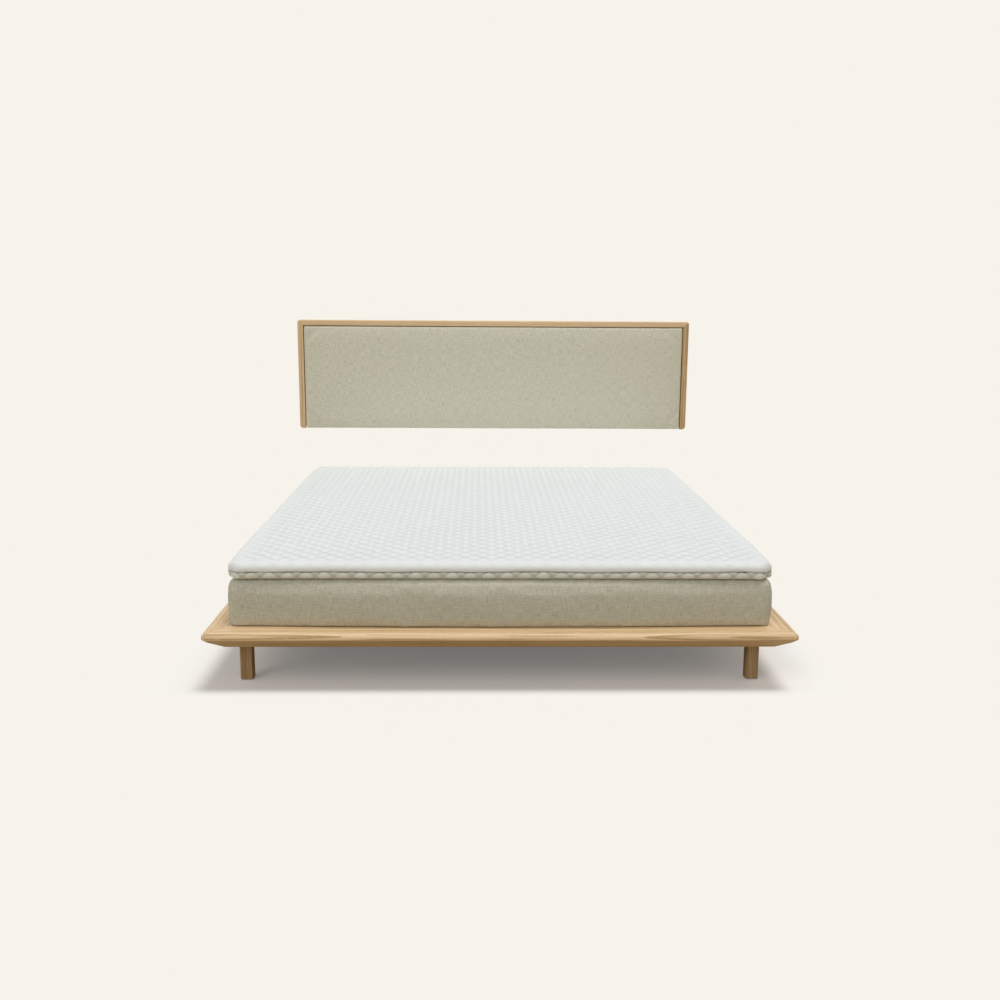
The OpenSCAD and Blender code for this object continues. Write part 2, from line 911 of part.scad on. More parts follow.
module headboard_strip_top() {
    x = headboard_w / 2;
    color(oak) {
        intersection() {
            translate([-x + strip_corner_r, strip_front, headboard_top])
                rotate([0, 90, 0])
                    linear_extrude(headboard_w - 2 * strip_corner_r)
                        strip_section();
            rotate([90, 0, 0])
                translate([0, 0, -wall_y])
                    linear_extrude(2 * strip_d + wall_gap)
                        polygon([[-x - over, headboard_top + over],
                            [x + over, headboard_top + over],
                            [x - strip_w - over, headboard_top - strip_w - over],
                            [-x + strip_w + over, headboard_top - strip_w - over]]);
        }
        for (side = [0, 1])
            mirror([side, 0, 0])
                strip_corner(false);
    }
}

// A board behind the strips, given by its margin to the opening and its depth.
module board(half_w, z0, z1, y, t) {
    translate([-half_w, y, z0])
        cube([2 * half_w, t, z1 - z0]);
}

module headboard_back_panel() {
    color("burlywood")
        difference() {
            board(headboard_w / 2 - strip_w + back_panel_lap - 0.5, headboard_z + 8,
                headboard_top - strip_w + back_panel_lap - 0.5, back_panel_y, back_panel_t);
            cleat_screw_places()
                translate([0, 0, -over])
                    cylinder(h = panel_screw_l + 2 * over, r = panel_screw_r + fit);
        }
}

module headboard_pad_board() {
    color(pine)
        board(pad_w / 2 - pad_side, pad_bottom + pad_side, pad_bottom + pad_h - pad_side,
            pad_board_y, pad_board_t);
}

module headboard_pad_foam() {
    color("lightyellow")
        board(pad_w / 2 - pad_side, pad_bottom + pad_side, pad_bottom + pad_h - pad_side,
            pad_foam_y, pad_foam_t);
}

// The cloth cover: crowned in front, rolled at the edges and open at the back.
module headboard_pad_cover() {
    depth = back_panel_y - touch - pad_front;
    levels = concat(
        [[0, 0, 0]],
        rolled_up(depth, pad_roll, steps = 5),
        [[depth + pad_crown, pad_crown_in, 0]]);
    color(linen)
        difference() {
            translate([0, back_panel_y - touch, pad_bottom + pad_h / 2])
                rotate([90, 0, 0])
                    soft_form(pad_w, pad_h, pad_corner_r, levels, crown = pad_crown);
            board(pad_w / 2 - pad_side + touch, pad_bottom + pad_side - touch,
                pad_bottom + pad_h - pad_side + touch, pad_foam_y - touch,
                back_panel_y - pad_foam_y + over);
        }
}

// The two halves of the hanging cleat, bevelled at 45 degrees towards the wall.
module cleat_section(hook) {
    edge = cleat_gap * sqrt(2);
    front = cleat_front + (hook ? 0 : cleat_play);
    back = wall_y - (hook ? wall_play : 0);
    low = hook ? cleat_z + edge : cleat_z - cleat_h;
    polygon(hook
        ? [[front, cleat_z + edge + wall_y - front], [front, cleat_z + cleat_h],
            [back, cleat_z + cleat_h], [back, low + wall_y - back]]
        : [[front, low], [back, low], [back, cleat_z], [front, cleat_z + wall_y - front]]);
}

module headboard_cleat() {
    color(pine)
        difference() {
            translate([-headboard_cleat_l / 2, 0, 0])
                along_x(headboard_cleat_l)
                    cleat_section(true);
            cleat_screw_places()
                cylinder(h = wall_gap + panel_screw_l, r = panel_screw_r + fit);
        }
}

// Screw places on the back of the headboard's cleat, pointing forwards.
module cleat_screw_places() {
    for (share = cleat_screw_at)
        translate([share * headboard_cleat_l, wall_y - 1, cleat_z + cleat_h * cleat_screw_up])
            rotate([90, 0, 0])
                children();
}

module cleat_screws() {
    color(steel)
        cleat_screw_places()
            cylinder(h = panel_screw_l, r = panel_screw_r);
}

module wall_cleat() {
    outer = wall_hole_span / 2;
    color(pine)
        difference() {
            translate([-wall_cleat_l / 2, 0, 0])
                along_x(wall_cleat_l)
                    cleat_section(false);
            for (x = [-outer, -outer * inner_hole_share, outer * inner_hole_share, outer])
                translate([x, wall_y + over, wall_hole_z])
                    rotate([90, 0, 0])
                        cylinder(h = cleat_t + 2 * over, r = wall_hole_r);
        }
}

// The batten that keeps the headboard's lower edge as far from the wall as its top.
module headboard_spacer() {
    color(pine)
        board(headboard_cleat_l / 2, spacer_z, spacer_z + spacer_h, cleat_front,
            wall_y - wall_play - cleat_front);
}

// The assembly

rail_foot();
rail_head();
rail_left();
rail_right();
mitre_dowels();
for (i = [0:3])
    corner_bracket(i);
bracket_bolts();
for (i = [0:3])
    corner_leg(i);
middle_leg(0);  // leg_middle_foot
middle_leg(1);  // leg_middle_head
leg_bolts();
leg_inserts();
felt_glides();
slat_beam();
beam_hanger(-1);  // beam_hanger_foot
beam_hanger(1);  // beam_hanger_head
hanger_screws();
for (i = [0:slat_count - 1])
    slat(i);
webbing(-1);  // webbing_left
webbing(1);  // webbing_right
mattress_cover();
mattress_dust_cloth();
mattress_base_frame();
mattress_spring_unit();
mattress_comfort_foam();
topper_top_cover();
topper_base_cover();
topper_zip();
zip_slider();
topper_core();
headboard_strip_top();
headboard_strip(-1);  // headboard_strip_left
headboard_strip(1);  // headboard_strip_right
headboard_back_panel();
headboard_pad_board();
headboard_pad_foam();
headboard_pad_cover();
headboard_cleat();
headboard_spacer();
cleat_screws();
wall_cleat();
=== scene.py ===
"""Dresses the packed oak bed: wood, cloth, quilting and studio round the fixed frame."""

import math
from itertools import product

import bpy
import numpy as np
from mathutils import Matrix, Vector


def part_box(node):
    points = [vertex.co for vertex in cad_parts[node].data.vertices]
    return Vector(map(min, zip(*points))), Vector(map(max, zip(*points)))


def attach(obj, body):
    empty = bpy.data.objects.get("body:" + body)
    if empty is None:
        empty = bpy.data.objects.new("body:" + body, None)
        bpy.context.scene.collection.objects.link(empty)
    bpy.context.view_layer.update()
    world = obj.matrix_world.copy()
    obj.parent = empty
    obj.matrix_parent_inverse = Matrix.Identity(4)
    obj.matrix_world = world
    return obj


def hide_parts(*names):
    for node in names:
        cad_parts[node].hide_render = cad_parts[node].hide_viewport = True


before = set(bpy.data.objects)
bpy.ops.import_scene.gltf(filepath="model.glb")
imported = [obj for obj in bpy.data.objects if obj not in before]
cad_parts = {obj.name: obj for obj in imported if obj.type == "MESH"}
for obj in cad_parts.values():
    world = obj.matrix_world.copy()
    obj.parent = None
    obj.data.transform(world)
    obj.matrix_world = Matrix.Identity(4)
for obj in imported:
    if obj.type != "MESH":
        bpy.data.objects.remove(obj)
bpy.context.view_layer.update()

bl_info = {
    "name": "Oak Platform Bed",
    "version": (1, 0, 0),
    "blender": (4, 5, 0),
    "location": "View3D > Sidebar > Bed",
    "description": "Finishes an oak platform bed with its mattress, topper and headboard",
    "category": "Object",
}

SENSOR_WIDTH = 36.0
UV_NAME = "cloth"
SEWN_NAME = "sewn"
SLATS = [f"slat_{number:02d}" for number in range(1, 15)]
WHITE = (1.0, 1.0, 1.0)
TURN = 2 * math.pi


def shade(red, green, blue):
    """A screen colour, 0 to 255 a channel, as linear light."""
    screen = np.array([red, green, blue]) / 255
    linear = np.where(screen < 0.04045, screen / 12.92, ((screen + 0.055) / 1.055) ** 2.4)
    return tuple(float(c) for c in linear)


def scaled(colour, *shares):
    """A colour times one share, or times one share for each channel, 1 at most."""
    return tuple(min(c * s, 1.0) for c, s in zip(colour, shares * 3))


def opaque(colour):
    """A colour with full opacity, as a shader socket takes it."""
    return (*colour, 1.0)


# Sizes and colours that a user may change


def real(name, description, default, **kind):
    """A number property; kind holds its unit or subtype, and its limits."""
    return bpy.props.FloatProperty(
        name=name, description=description, default=default, precision=5, **kind)


def length(*words_and_default):
    """A length property in metres."""
    return real(*words_and_default, unit="LENGTH")


def angle(*words_and_default):
    """An angle property in radians."""
    return real(*words_and_default, subtype="ANGLE")


def colour(name, description, default):
    """A colour property in linear light."""
    return bpy.props.FloatVectorProperty(
        name=name, description=description, default=default, subtype="COLOR",
        size=3, min=0, max=1)


class BedOak(bpy.types.PropertyGroup):
    """Colours and grain of the oak."""

    light: colour("Late wood", "Colour of the pale bands of the grain", shade(238, 208, 166))
    dark: colour("Early wood", "Colour of the dark bands of the grain", shade(184, 148, 98))
    pore: colour("Pores", "Colour of the open pores", shade(134, 100, 58))
    ring: length("Ring width", "Distance between two yearly rings", 0.0042)
    joint: length("Joint line", "Width of the dark line where two rails meet", 0.0007)


class BedSoftwood(bpy.types.PropertyGroup):
    """Colours of the hidden timber."""

    light: colour("Pale wood", "Colour between the rings", shade(228, 203, 160))
    dark: colour("Ring", "Colour of the rings", shade(205, 168, 116))
    ring: length("Ring width", "Distance between two yearly rings", 0.0055)


class BedCloth(bpy.types.PropertyGroup):
    """The upholstery cloth of the mattress and the headboard."""

    warp: colour("Warp", "Colour of the threads that run up", shade(208, 204, 186))
    weft: colour("Weft", "Colour of the threads that run across", shade(192, 192, 174))
    fleck: colour("Fleck", "Colour of the pale slubs", shade(230, 227, 212))
    shadow: colour("Shade", "Colour of the dark slubs", shade(150, 148, 129))
    thread: length("Thread", "Distance between two threads", 0.0013)
    slack: length("Slack", "How far the cloth waves in and out", 0.0011)
    fold: length("Fold", "Depth of the folds at the mattress corners", 0.0030)


class BedQuilt(bpy.types.PropertyGroup):
    """The quilted cover of the topper."""

    pitch: length("Diamond", "Width of a quilted diamond", 0.060)
    puff: length("Puff", "Height of a quilted diamond", 0.0095)
    droop: length("Droop", "How far the corners hang over the mattress", 0.007)
    top: colour("Top", "Colour of the cover", shade(235, 238, 237))
    border: colour("Border", "Colour of the border under the zip", shade(236, 238, 229))
    yarn: length("Yarn", "Distance between two rows of knitting", 0.0016)


class BedStudio(bpy.types.PropertyGroup):
    """The camera, the floor and the light."""

    lens: real("Lens", "Focal length of the camera", 38.485, unit="CAMERA")
    pitch: angle("Pitch", "How far the camera looks down", 0.19022)
    yaw: angle("Yaw", "How far the camera turns right", 0.02123)
    roll: angle("Roll", "How far the camera tips", 0.00636)
    place: bpy.props.FloatVectorProperty(
        name="Place", description="Where the camera stands",
        default=(-0.07935, -4.41599, 1.29656), subtype="TRANSLATION")
    ground: colour("Ground", "Colour of the floor and the backdrop", shade(247, 243, 235))
    bounce: colour("Bounce", "Colour of the light that the floor sends back",
                   (0.46, 0.38, 0.26))
    shade: colour("Shade", "Colour of the faint light in the shadow under the bed",
                  (0.95, 0.97, 0.97))
    sky: real("Sky", "Share of the light that comes from all round", 0.34,
              subtype="FACTOR", min=0, max=1)


# Shader maths


def maths(operation, turned=False):
    """A method that joins a wire with other wires or numbers in a Math node."""
    def method(self, *others):
        terms = (*others, self) if turned else (self, *others)
        return self.recipe.node(
            "ShaderNodeMath", {"operation": operation}, dict(enumerate(terms)))
    return method


class Wire:
    """A socket of a material; sums, products and powers of wires add Math nodes."""

    def __init__(self, recipe, socket):
        self.recipe, self.socket = recipe, socket

    __add__, __radd__ = maths("ADD"), maths("ADD", True)
    __sub__, __rsub__ = maths("SUBTRACT"), maths("SUBTRACT", True)
    __mul__, __rmul__ = maths("MULTIPLY"), maths("MULTIPLY", True)
    __truediv__, __mod__, __pow__ = maths("DIVIDE"), maths("FLOORED_MODULO"), maths("POWER")
    __abs__, __lt__ = maths("ABSOLUTE"), maths("LESS_THAN")
    floor, sine, most = maths("FLOOR"), maths("SINE"), maths("MAXIMUM")

    def ramp(self, low, high):
        """From 0 at low to 1 at high, smooth at both ends."""
        return self.recipe.node(
            "ShaderNodeMapRange", {"interpolation_type": "SMOOTHSTEP"},
            {0: self, 1: low, 2: high, 3: 0.0, 4: 1.0})


class Recipe:
    """A material or a world being made: its nodes, its coordinates and its surface."""

    def __init__(self, name, kind="materials"):
        self.made = getattr(bpy.data, kind).new(name)
        self.made.use_nodes = True
        self.made.node_tree.nodes.clear()

    def node(self, kind, settings=None, inputs=None, output=0):
        """Adds a node: its settings first, then the values or wires of its sockets."""
        tree = self.made.node_tree
        made = tree.nodes.new(kind)
        for key, value in (settings or {}).items():
            setattr(made, key, value)
        for key, value in (inputs or {}).items():
            if isinstance(value, Wire):
                tree.links.new(value.socket, made.inputs[key])
            else:
                made.inputs[key].default_value = value
        return Wire(self, made.outputs[output]) if made.outputs else None

    def parts(self, vector):
        """The three parts of a vector."""
        return [self.node("ShaderNodeSeparateXYZ", None, {0: vector}, i) for i in range(3)]

    def place(self, along=0):
        """The place in the object, in metres, with the part along the grain first."""
        place = self.parts(self.node("ShaderNodeTexCoord", output="Object"))
        return [place.pop(along), *place]

    def weave_place(self):
        """The place on the piece's own cloth, in metres."""
        return self.parts(self.node("ShaderNodeUVMap", {"uv_map": UV_NAME}))[:2]

    def noise(self, place, stretch=None, detail=2.0, layer=0.0, scale=1.0, roughness=0.5):
        """Noise at a place whose parts are multiplied by stretch; a flat place has a layer."""
        place = [part * s for part, s in zip(place, stretch)] if stretch else place
        vector = self.node("ShaderNodeCombineXYZ", None, dict(enumerate([*place, layer][:3])))
        return self.node("ShaderNodeTexNoise", None, {
            "Vector": vector, "Scale": scale, "Detail": detail, "Roughness": roughness})

    def mix(self, factor, first, second):
        """From the first colour to the second as the factor goes from 0 to 1."""
        ends = [c if isinstance(c, Wire) else opaque(c) for c in (first, second)]
        return self.node("ShaderNodeMix", {"data_type": "RGBA"},
                         {0: factor, 6: ends[0], 7: ends[1]}, 2)

    def surface(self, colour, roughness, height, distance, **others):
        """Ends the recipe in one shader with a bump; others names more sockets with _."""
        bump = self.node("ShaderNodeBump", None, {
            "Height": height, "Distance": distance, "Strength": 1.0})
        inputs = {"Base Color": colour, "Roughness": roughness, "Normal": bump}
        inputs.update({key.replace("_", " "): value for key, value in others.items()})
        shader = self.node("ShaderNodeBsdfPrincipled", None, inputs)
        self.node("ShaderNodeOutputMaterial", None, {"Surface": shader})
        return self.made


# Materials


def year_rings(place, pith, sway, width):
    """The number of the yearly ring at a place, and how much of its width is behind it.

    The distance from the pith line, plus the sway, over the ring width.
    """
    _, across, depth = place
    rings = ((across - pith[0]) ** 2 + (depth - pith[1]) ** 2) ** 0.5
    rings = (rings + sway) / width
    ring = rings.floor()
    return ring, rings - ring


def oak_material(name, along, oak, tone_and_shade=0.0, joints=None, level=1.0):
    """Rift sawn oak: rings round a far pith, open pores in the early wood, pale rays.

    A ring starts with early wood and ends in late wood; a lower tone gives more dark
    wood, and level scales both colours. The legs and the headboard strips use these for
    painted shade and light as well as for tone. The mitre lines lie where the distances
    to the two outer edges are equal, and joints holds how far out those are.
    """
    recipe = Recipe(name)
    place = recipe.place(along)
    sway = recipe.noise(place, (0.8, 5, 5), 3.0) * 0.022
    ring, within = year_rings(place, (0.31, -0.42), sway, oak.ring)
    year = recipe.node("ShaderNodeTexWhiteNoise", {"noise_dimensions": "1D"}, {"W": ring})
    early = 1 - within.ramp(0.12, 0.62)
    fine = recipe.noise(place, (9, 420, 420), 3.0)
    streak = recipe.noise(place, (1.7, 90, 90))
    band = early * 0.50 + (fine - 0.5) * 0.9 + (year - 0.5) * 0.5 + 0.28 - tone_and_shade
    band = band + (streak - 0.5) * 1.5
    light = scaled(oak.light, level)
    wood = recipe.mix(band.ramp(0.0, 1.1), light, scaled(oak.dark, level))
    spots = recipe.noise(place, (42, 1500, 1500), 1.0)
    pores = spots.ramp(0.60, 0.70) * (early * 0.75 + 0.12)
    wood = recipe.mix(pores * 0.75, wood, oak.pore)
    rays = recipe.noise(place, (26, 230, 60), 1.0)
    wood = recipe.mix(rays.ramp(0.66, 0.74) * 0.35, wood, light)
    cloud = recipe.noise(place, (1.5, 7, 7))
    wood = recipe.mix(cloud.ramp(0.35, 0.75) * 0.16, wood, shade(176, 132, 84))
    if joints:
        x, y, _ = recipe.place()
        away = (joints[0] - abs(x)) - (joints[1] - abs(y))
        line = 1 - abs(away).ramp(oak.joint / 2, oak.joint)
        wood = recipe.mix(line * 0.7, wood, shade(92, 66, 40))
    return recipe.surface(
        wood, 0.40 + fine * 0.16 + pores * 0.15, fine * 0.35 - pores, 0.00012,
        Coat_Weight=0.12, Coat_Roughness=0.32)


def softwood_material(name, along, timber, pith=(0.05, 0.16)):
    """Planed softwood: wide rings with sharp late wood lines and a few warm knots."""
    recipe = Recipe(name)
    place = recipe.place(along)
    sway = recipe.noise(place, (1.1, 6, 6)) * 0.03
    _, within = year_rings(place, pith, sway, timber.ring)
    late = within.ramp(0.45, 0.95) - within.ramp(0.95, 1.0)
    fibre = recipe.noise(place, (12, 600, 600))
    wood = recipe.mix(late * 0.8 + (fibre - 0.5) * 0.5, timber.light, timber.dark)
    knots = recipe.noise(place, (4, 16, 10), 0.0)
    wood = recipe.mix(knots.ramp(0.74, 0.80) * 0.8, wood, shade(150, 96, 54))
    return recipe.surface(wood, 0.55 + fibre * 0.2, fibre, 0.00015)


def plywood_material(name, ply, first_face):
    """Birch plywood whose layers run along Y: bands of long and cross grain."""
    recipe = Recipe(name)
    place = recipe.place()
    cross = ((place[1] - first_face) / ply).floor() % 2
    grain = recipe.noise(place, (3, 300, 160), 3.0)
    wood = recipe.mix(grain.ramp(0.3, 0.75), shade(222, 192, 146), shade(196, 158, 106))
    wood = recipe.mix(cross * 0.55, wood, shade(160, 120, 76))
    return recipe.surface(wood, 0.5 + grain * 0.2, grain, 0.0001)


def metal_material(name, bright, scale, roughness=0.34):
    """Zinc or brass: fine brushed lines and a slightly mottled surface."""
    recipe = Recipe(name)
    place = recipe.place()
    lines = recipe.noise(place, (40, 40, 1600))
    mottle = recipe.noise(place, detail=3.0, scale=scale)
    metal = recipe.mix(mottle.ramp(0.35, 0.7), bright, scaled(bright, 0.72))
    return recipe.surface(
        metal, roughness + (lines - 0.5) * 0.2 + mottle * 0.1, lines, 0.00004, Metallic=1.0)


def woven_cloth_material(name, cloth, level=1.0):
    """Plain weave in two heathered yarns; level makes the whole cloth lighter, and the
    headboard's copy is lighter than the mattress's: painted light and shade.

    Threads are numbered along both directions of the cloth. Where the two numbers
    add up to an even one the weft lies on top, and otherwise the warp; each thread
    is a round ridge, and slow noise along it gives the slubs.
    """
    recipe = Recipe(name)
    warp, weft, fleck, dark = [
        scaled(yarn, level) for yarn in (cloth.warp, cloth.weft, cloth.fleck, cloth.shadow)]
    weave = recipe.weave_place()
    up, over = [part / cloth.thread for part in weave]
    warp_no, weft_no = up.floor(), over.floor()
    on_top = (warp_no + weft_no) % 2
    warp_ridge = ((up - warp_no) * math.pi).sine()
    weft_ridge = ((over - weft_no) * math.pi).sine()
    warp_slub = recipe.noise(weave, (640, 60))
    weft_slub = recipe.noise(weave, (60, 640), layer=7.0)
    warp_long = recipe.noise(weave, (260, 34), layer=3.0)
    weft_long = recipe.noise(weave, (34, 260), layer=5.0)
    slub = warp_slub * on_top + weft_slub * (1 - on_top)
    yarn = recipe.mix(on_top * 0.8 + 0.1, weft, warp)
    streak = (warp_long - 0.5) + (weft_long - 0.5)
    yarn = recipe.mix((slub - 0.5 + streak).ramp(0.0, 0.40) * 0.55, yarn, fleck)
    yarn = recipe.mix((0.5 - slub - streak).ramp(0.0, 0.40) * 0.50, yarn, dark)
    cloud = recipe.noise(weave, (5, 5), layer=1.0)
    yarn = recipe.mix(cloud.ramp(0.35, 0.75) * 0.10, yarn, scaled(warp, 1.0, 0.93, 0.80))
    # The gaps between the threads are darkened: painted shade in the recesses of the weave.
    gap = (1 - warp_ridge) * (1 - weft_ridge)
    yarn = recipe.mix(gap.ramp(0.25, 1.0) * 0.45, yarn, scaled(dark, 0.45))
    height = on_top * warp_ridge + (1 - on_top) * weft_ridge + slub * 0.8
    return recipe.surface(yarn, 0.86, height, 0.0003, Sheen_Weight=0.12,
                          Sheen_Roughness=0.5, Specular_IOR_Level=0.2)


def knit_material(name, quilt, base):
    """Fine white jersey, quilted: rows of small loops, and a seam along each diamond.

    The seams lie where (u + v) / pitch or (u - v) / pitch is a whole number and a
    half; the valley beside them is darkened as painted shade, and a thread of dashes
    runs along the middle.
    """
    valley, thread_width, dash = 0.009, 0.0006, 0.0045
    recipe = Recipe(name)
    u, v = weave = recipe.weave_place()
    wave = ((u / quilt.yarn) * TURN).sine() * 0.18
    loop = abs(((v / quilt.yarn + wave) % 1) - 0.5) * 2
    column = abs(((u / quilt.yarn) % 1) - 0.5) * 2
    fluff = recipe.noise(weave, (300, 300), 3.0, layer=2.0)
    cloud = recipe.noise(weave, (5, 5), layer=4.0)
    dull = scaled(base, 0.70, 0.72, 0.71)
    # The edges between the rows and columns of loops are darkened: painted shade between the
    # loops.
    knit = recipe.mix(loop.ramp(0.55, 1.0) * 0.16 + column.ramp(0.7, 1.0) * 0.08, base, dull)
    knit = recipe.mix((fluff - 0.5) * 0.4 + (cloud - 0.5) * 0.2, knit, dull)
    thread, dip = 0.0, 0.0
    sewn = recipe.node("ShaderNodeAttribute", {"attribute_name": SEWN_NAME}, output=2)
    for near, along in (((u + v) / quilt.pitch, u - v), ((u - v) / quilt.pitch, u + v)):
        off = abs((near % 1) - 0.5) * (quilt.pitch / math.sqrt(2))
        dip = dip + (1 - off.ramp(0.0, valley))
        stitched = ((along / (dash * math.sqrt(2))) % 1) < 0.7
        thread = thread + (1 - off.ramp(thread_width, thread_width * 2)) * stitched
    thread = thread * sewn
    # dip darkens the cloth beside each seam: painted shade in the quilting valleys.
    knit = recipe.mix(dip * sewn * 0.55, knit, dull)
    knit = recipe.mix(thread * 0.6, knit, scaled(base, 0.9))
    height = (1 - loop) + (1 - column) * 0.4 + fluff * 0.8 + thread * 2.0
    return recipe.surface(knit, 0.78, height, 0.00018, Sheen_Weight=0.15,
                          Sheen_Roughness=0.4, Specular_IOR_Level=0.25)


def fuzzy_material(name, light, dark, grain, roughness=0.92, depth=0.0003):
    """Felt, foam or nonwoven: small random fibres or cells in two close colours."""
    recipe = Recipe(name)
    place = recipe.place()
    fibre = recipe.noise(place, detail=4.0, scale=grain, roughness=0.6)
    patch = recipe.noise(place, scale=grain / 30)
    tone = (fibre - 0.5) * 1.6 + (patch - 0.5) * 0.6 + 0.5
    return recipe.surface(recipe.mix(tone.ramp(0.0, 1.0), dark, light), roughness, fibre,
                          depth, Specular_IOR_Level=0.2)


def strap_material(name, pale, shaded):
    """Webbing: a fine twill that runs along the strap, over finer ribs."""
    recipe = Recipe(name)
    u, v = weave = recipe.weave_place()
    twill = (((u + v) / 0.0022) * TURN).sine()
    rib = ((u / 0.0011) * math.pi).sine()
    tone = abs(twill) * 0.4 + abs(rib) * 0.3 + recipe.noise(weave, (500, 90)) * 0.4
    return recipe.surface(recipe.mix(tone.ramp(0.25, 0.9), shaded, pale), 0.8, tone, 0.0004,
                          Specular_IOR_Level=0.3)


# Meshes


def make_piece(name, body, material, points, faces, uvs=None):
    """A mesh object from a point array, lists of quads and triangles, and corner UVs."""
    mesh = bpy.data.meshes.new(name)
    mesh.from_pydata(points.tolist(), [], [f for group in faces for f in group.tolist()])
    if uvs is not None:
        layer = mesh.uv_layers.new(name=UV_NAME)
        flat = np.concatenate([group.reshape(-1, 2) for group in uvs])
        layer.uv.foreach_set("vector", flat.astype(np.float32).ravel())
    mesh.materials.append(material)
    mesh.shade_smooth()
    piece = bpy.data.objects.new(name, mesh)
    bpy.context.scene.collection.objects.link(piece)
    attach(piece, body)
    return piece


def stand_for(piece, node):
    """Hides the CAD node that a padded piece replaces; the piece is not used."""
    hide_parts(node)


def mark_sewn(piece, amounts):
    """Stores how strongly the quilting shows at each point of a piece, from 0 to 1."""
    layer = piece.data.attributes.new(SEWN_NAME, "FLOAT", "POINT")
    layer.data.foreach_set("value", amounts.astype(np.float32))


def dress(nodes, material):
    """Gives CAD nodes a material."""
    for node in nodes:
        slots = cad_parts[node].data.materials
        slots.clear()
        slots.append(material)


def node_box(name):
    """A node's lowest and highest corner."""
    return np.array(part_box(name))


def ripple(x, y, wavelength, seed):
    """Smooth noise from -1 to 1: the mean of plane waves in seeded directions."""
    count = 9
    random = np.random.default_rng(seed)
    angle = random.uniform(0, TURN, count)
    phase = random.uniform(0, TURN, count)
    size = wavelength * random.uniform(0.6, 1.7, count)
    total = sum(
        np.sin((x * math.cos(a) + y * math.sin(a)) * TURN / s + p)
        for a, p, s in zip(angle, phase, size))
    return total / math.sqrt(count) / 1.4


def smooth(value, low, high):
    """0 below low, 1 above high and a smooth step between."""
    t = np.clip((value - low) / (high - low), 0, 1)
    return t * t * (3 - 2 * t)


def diamonds(u, v, pitch, full=0.6):
    """Quilting from 0 on the seams to 1 on a diamond's middle: |cos a cos b| to a power.

    a and b are pi (u + v) / pitch and pi (u - v) / pitch, so that the seams cross at
    right angles; each diamond is a little fuller or flatter than the next. The lower
    the power, the fuller the diamonds.
    """
    a, b = (u + v) / pitch, (u - v) / pitch
    cell = np.round(a) * 7.13 + np.round(b) * 3.71
    height = 0.90 + 0.10 * np.sin(cell * 12.9898)
    return height * np.abs(np.cos(np.pi * a) * np.cos(np.pi * b)) ** full


def arc(centre, radius, start, end, steps):
    """Points on a circle, from one angle to another, in degrees."""
    angle = np.radians(np.linspace(start, end, steps + 1))
    return [(centre[0] + radius * math.cos(a), centre[1] + radius * math.sin(a))
            for a in angle]


def numbered(shape, first=0):
    """Point numbers in a grid, counted from first."""
    return first + np.arange(shape[0] * shape[1]).reshape(shape[:2])


def closed(rows):
    """A grid with its first column again at its end."""
    return np.concatenate([rows, rows[:, :1]], 1)


def cells(grid, turned=False):
    """What a grid holds at the four corners of each cell, going round it either way."""
    corners = [grid[:-1, :-1], grid[1:, :-1], grid[1:, 1:], grid[:-1, 1:]]
    if turned:
        corners = corners[:1] + corners[:0:-1]
    return np.stack(corners, 2).reshape(-1, 4, *grid.shape[2:])


def border(number):
    """The numbers round the edge of a grid."""
    return np.concatenate([
        number[:-1, 0], number[-1, :-1], number[:0:-1, -1], number[0, :0:-1]])


def fan(row, pole):
    """Triangles from a closed row of points to one point inside."""
    return np.stack([row, np.full_like(row, pole), np.roll(row, -1)], -1)


def carry(line, normals, outs, levels):
    """A profile carried round a line: (profile, line, xyz), outs along its normals."""
    flat = line[None] + normals[None] * np.array(outs)[:, None, None]
    height = np.broadcast_to(np.array(levels)[:, None], flat.shape[:2])
    return np.concatenate([flat, height[..., None]], -1)


def run_of(*parts):
    """How far along a line each of its points lies; parts are its coordinates."""
    return np.concatenate([[0], np.cumsum(np.hypot(*[np.diff(p) for p in parts]))])


def box_blocks(centres, halves, turns=None):
    """Many small boxes in one mesh: 8 points and 6 outward faces for each centre."""
    signs = (-1, 1)
    local = halves * np.array([[x, y, z] for x in signs for y in signs for z in signs])[None]
    if turns is not None:
        c, s = np.cos(turns)[:, None], np.sin(turns)[:, None]
        x, y, z = np.moveaxis(local, -1, 0)
        local = np.stack(np.broadcast_arrays(x * c - y * s, x * s + y * c, z), -1)
    face = np.array([[0, 1, 3, 2], [4, 6, 7, 5], [0, 4, 5, 1], [2, 3, 7, 6],
                     [0, 2, 6, 4], [1, 5, 7, 3]])
    faces = (np.arange(len(centres))[:, None, None] * 8 + face).reshape(-1, 4)
    return (centres[:, None] + local).reshape(-1, 3), faces


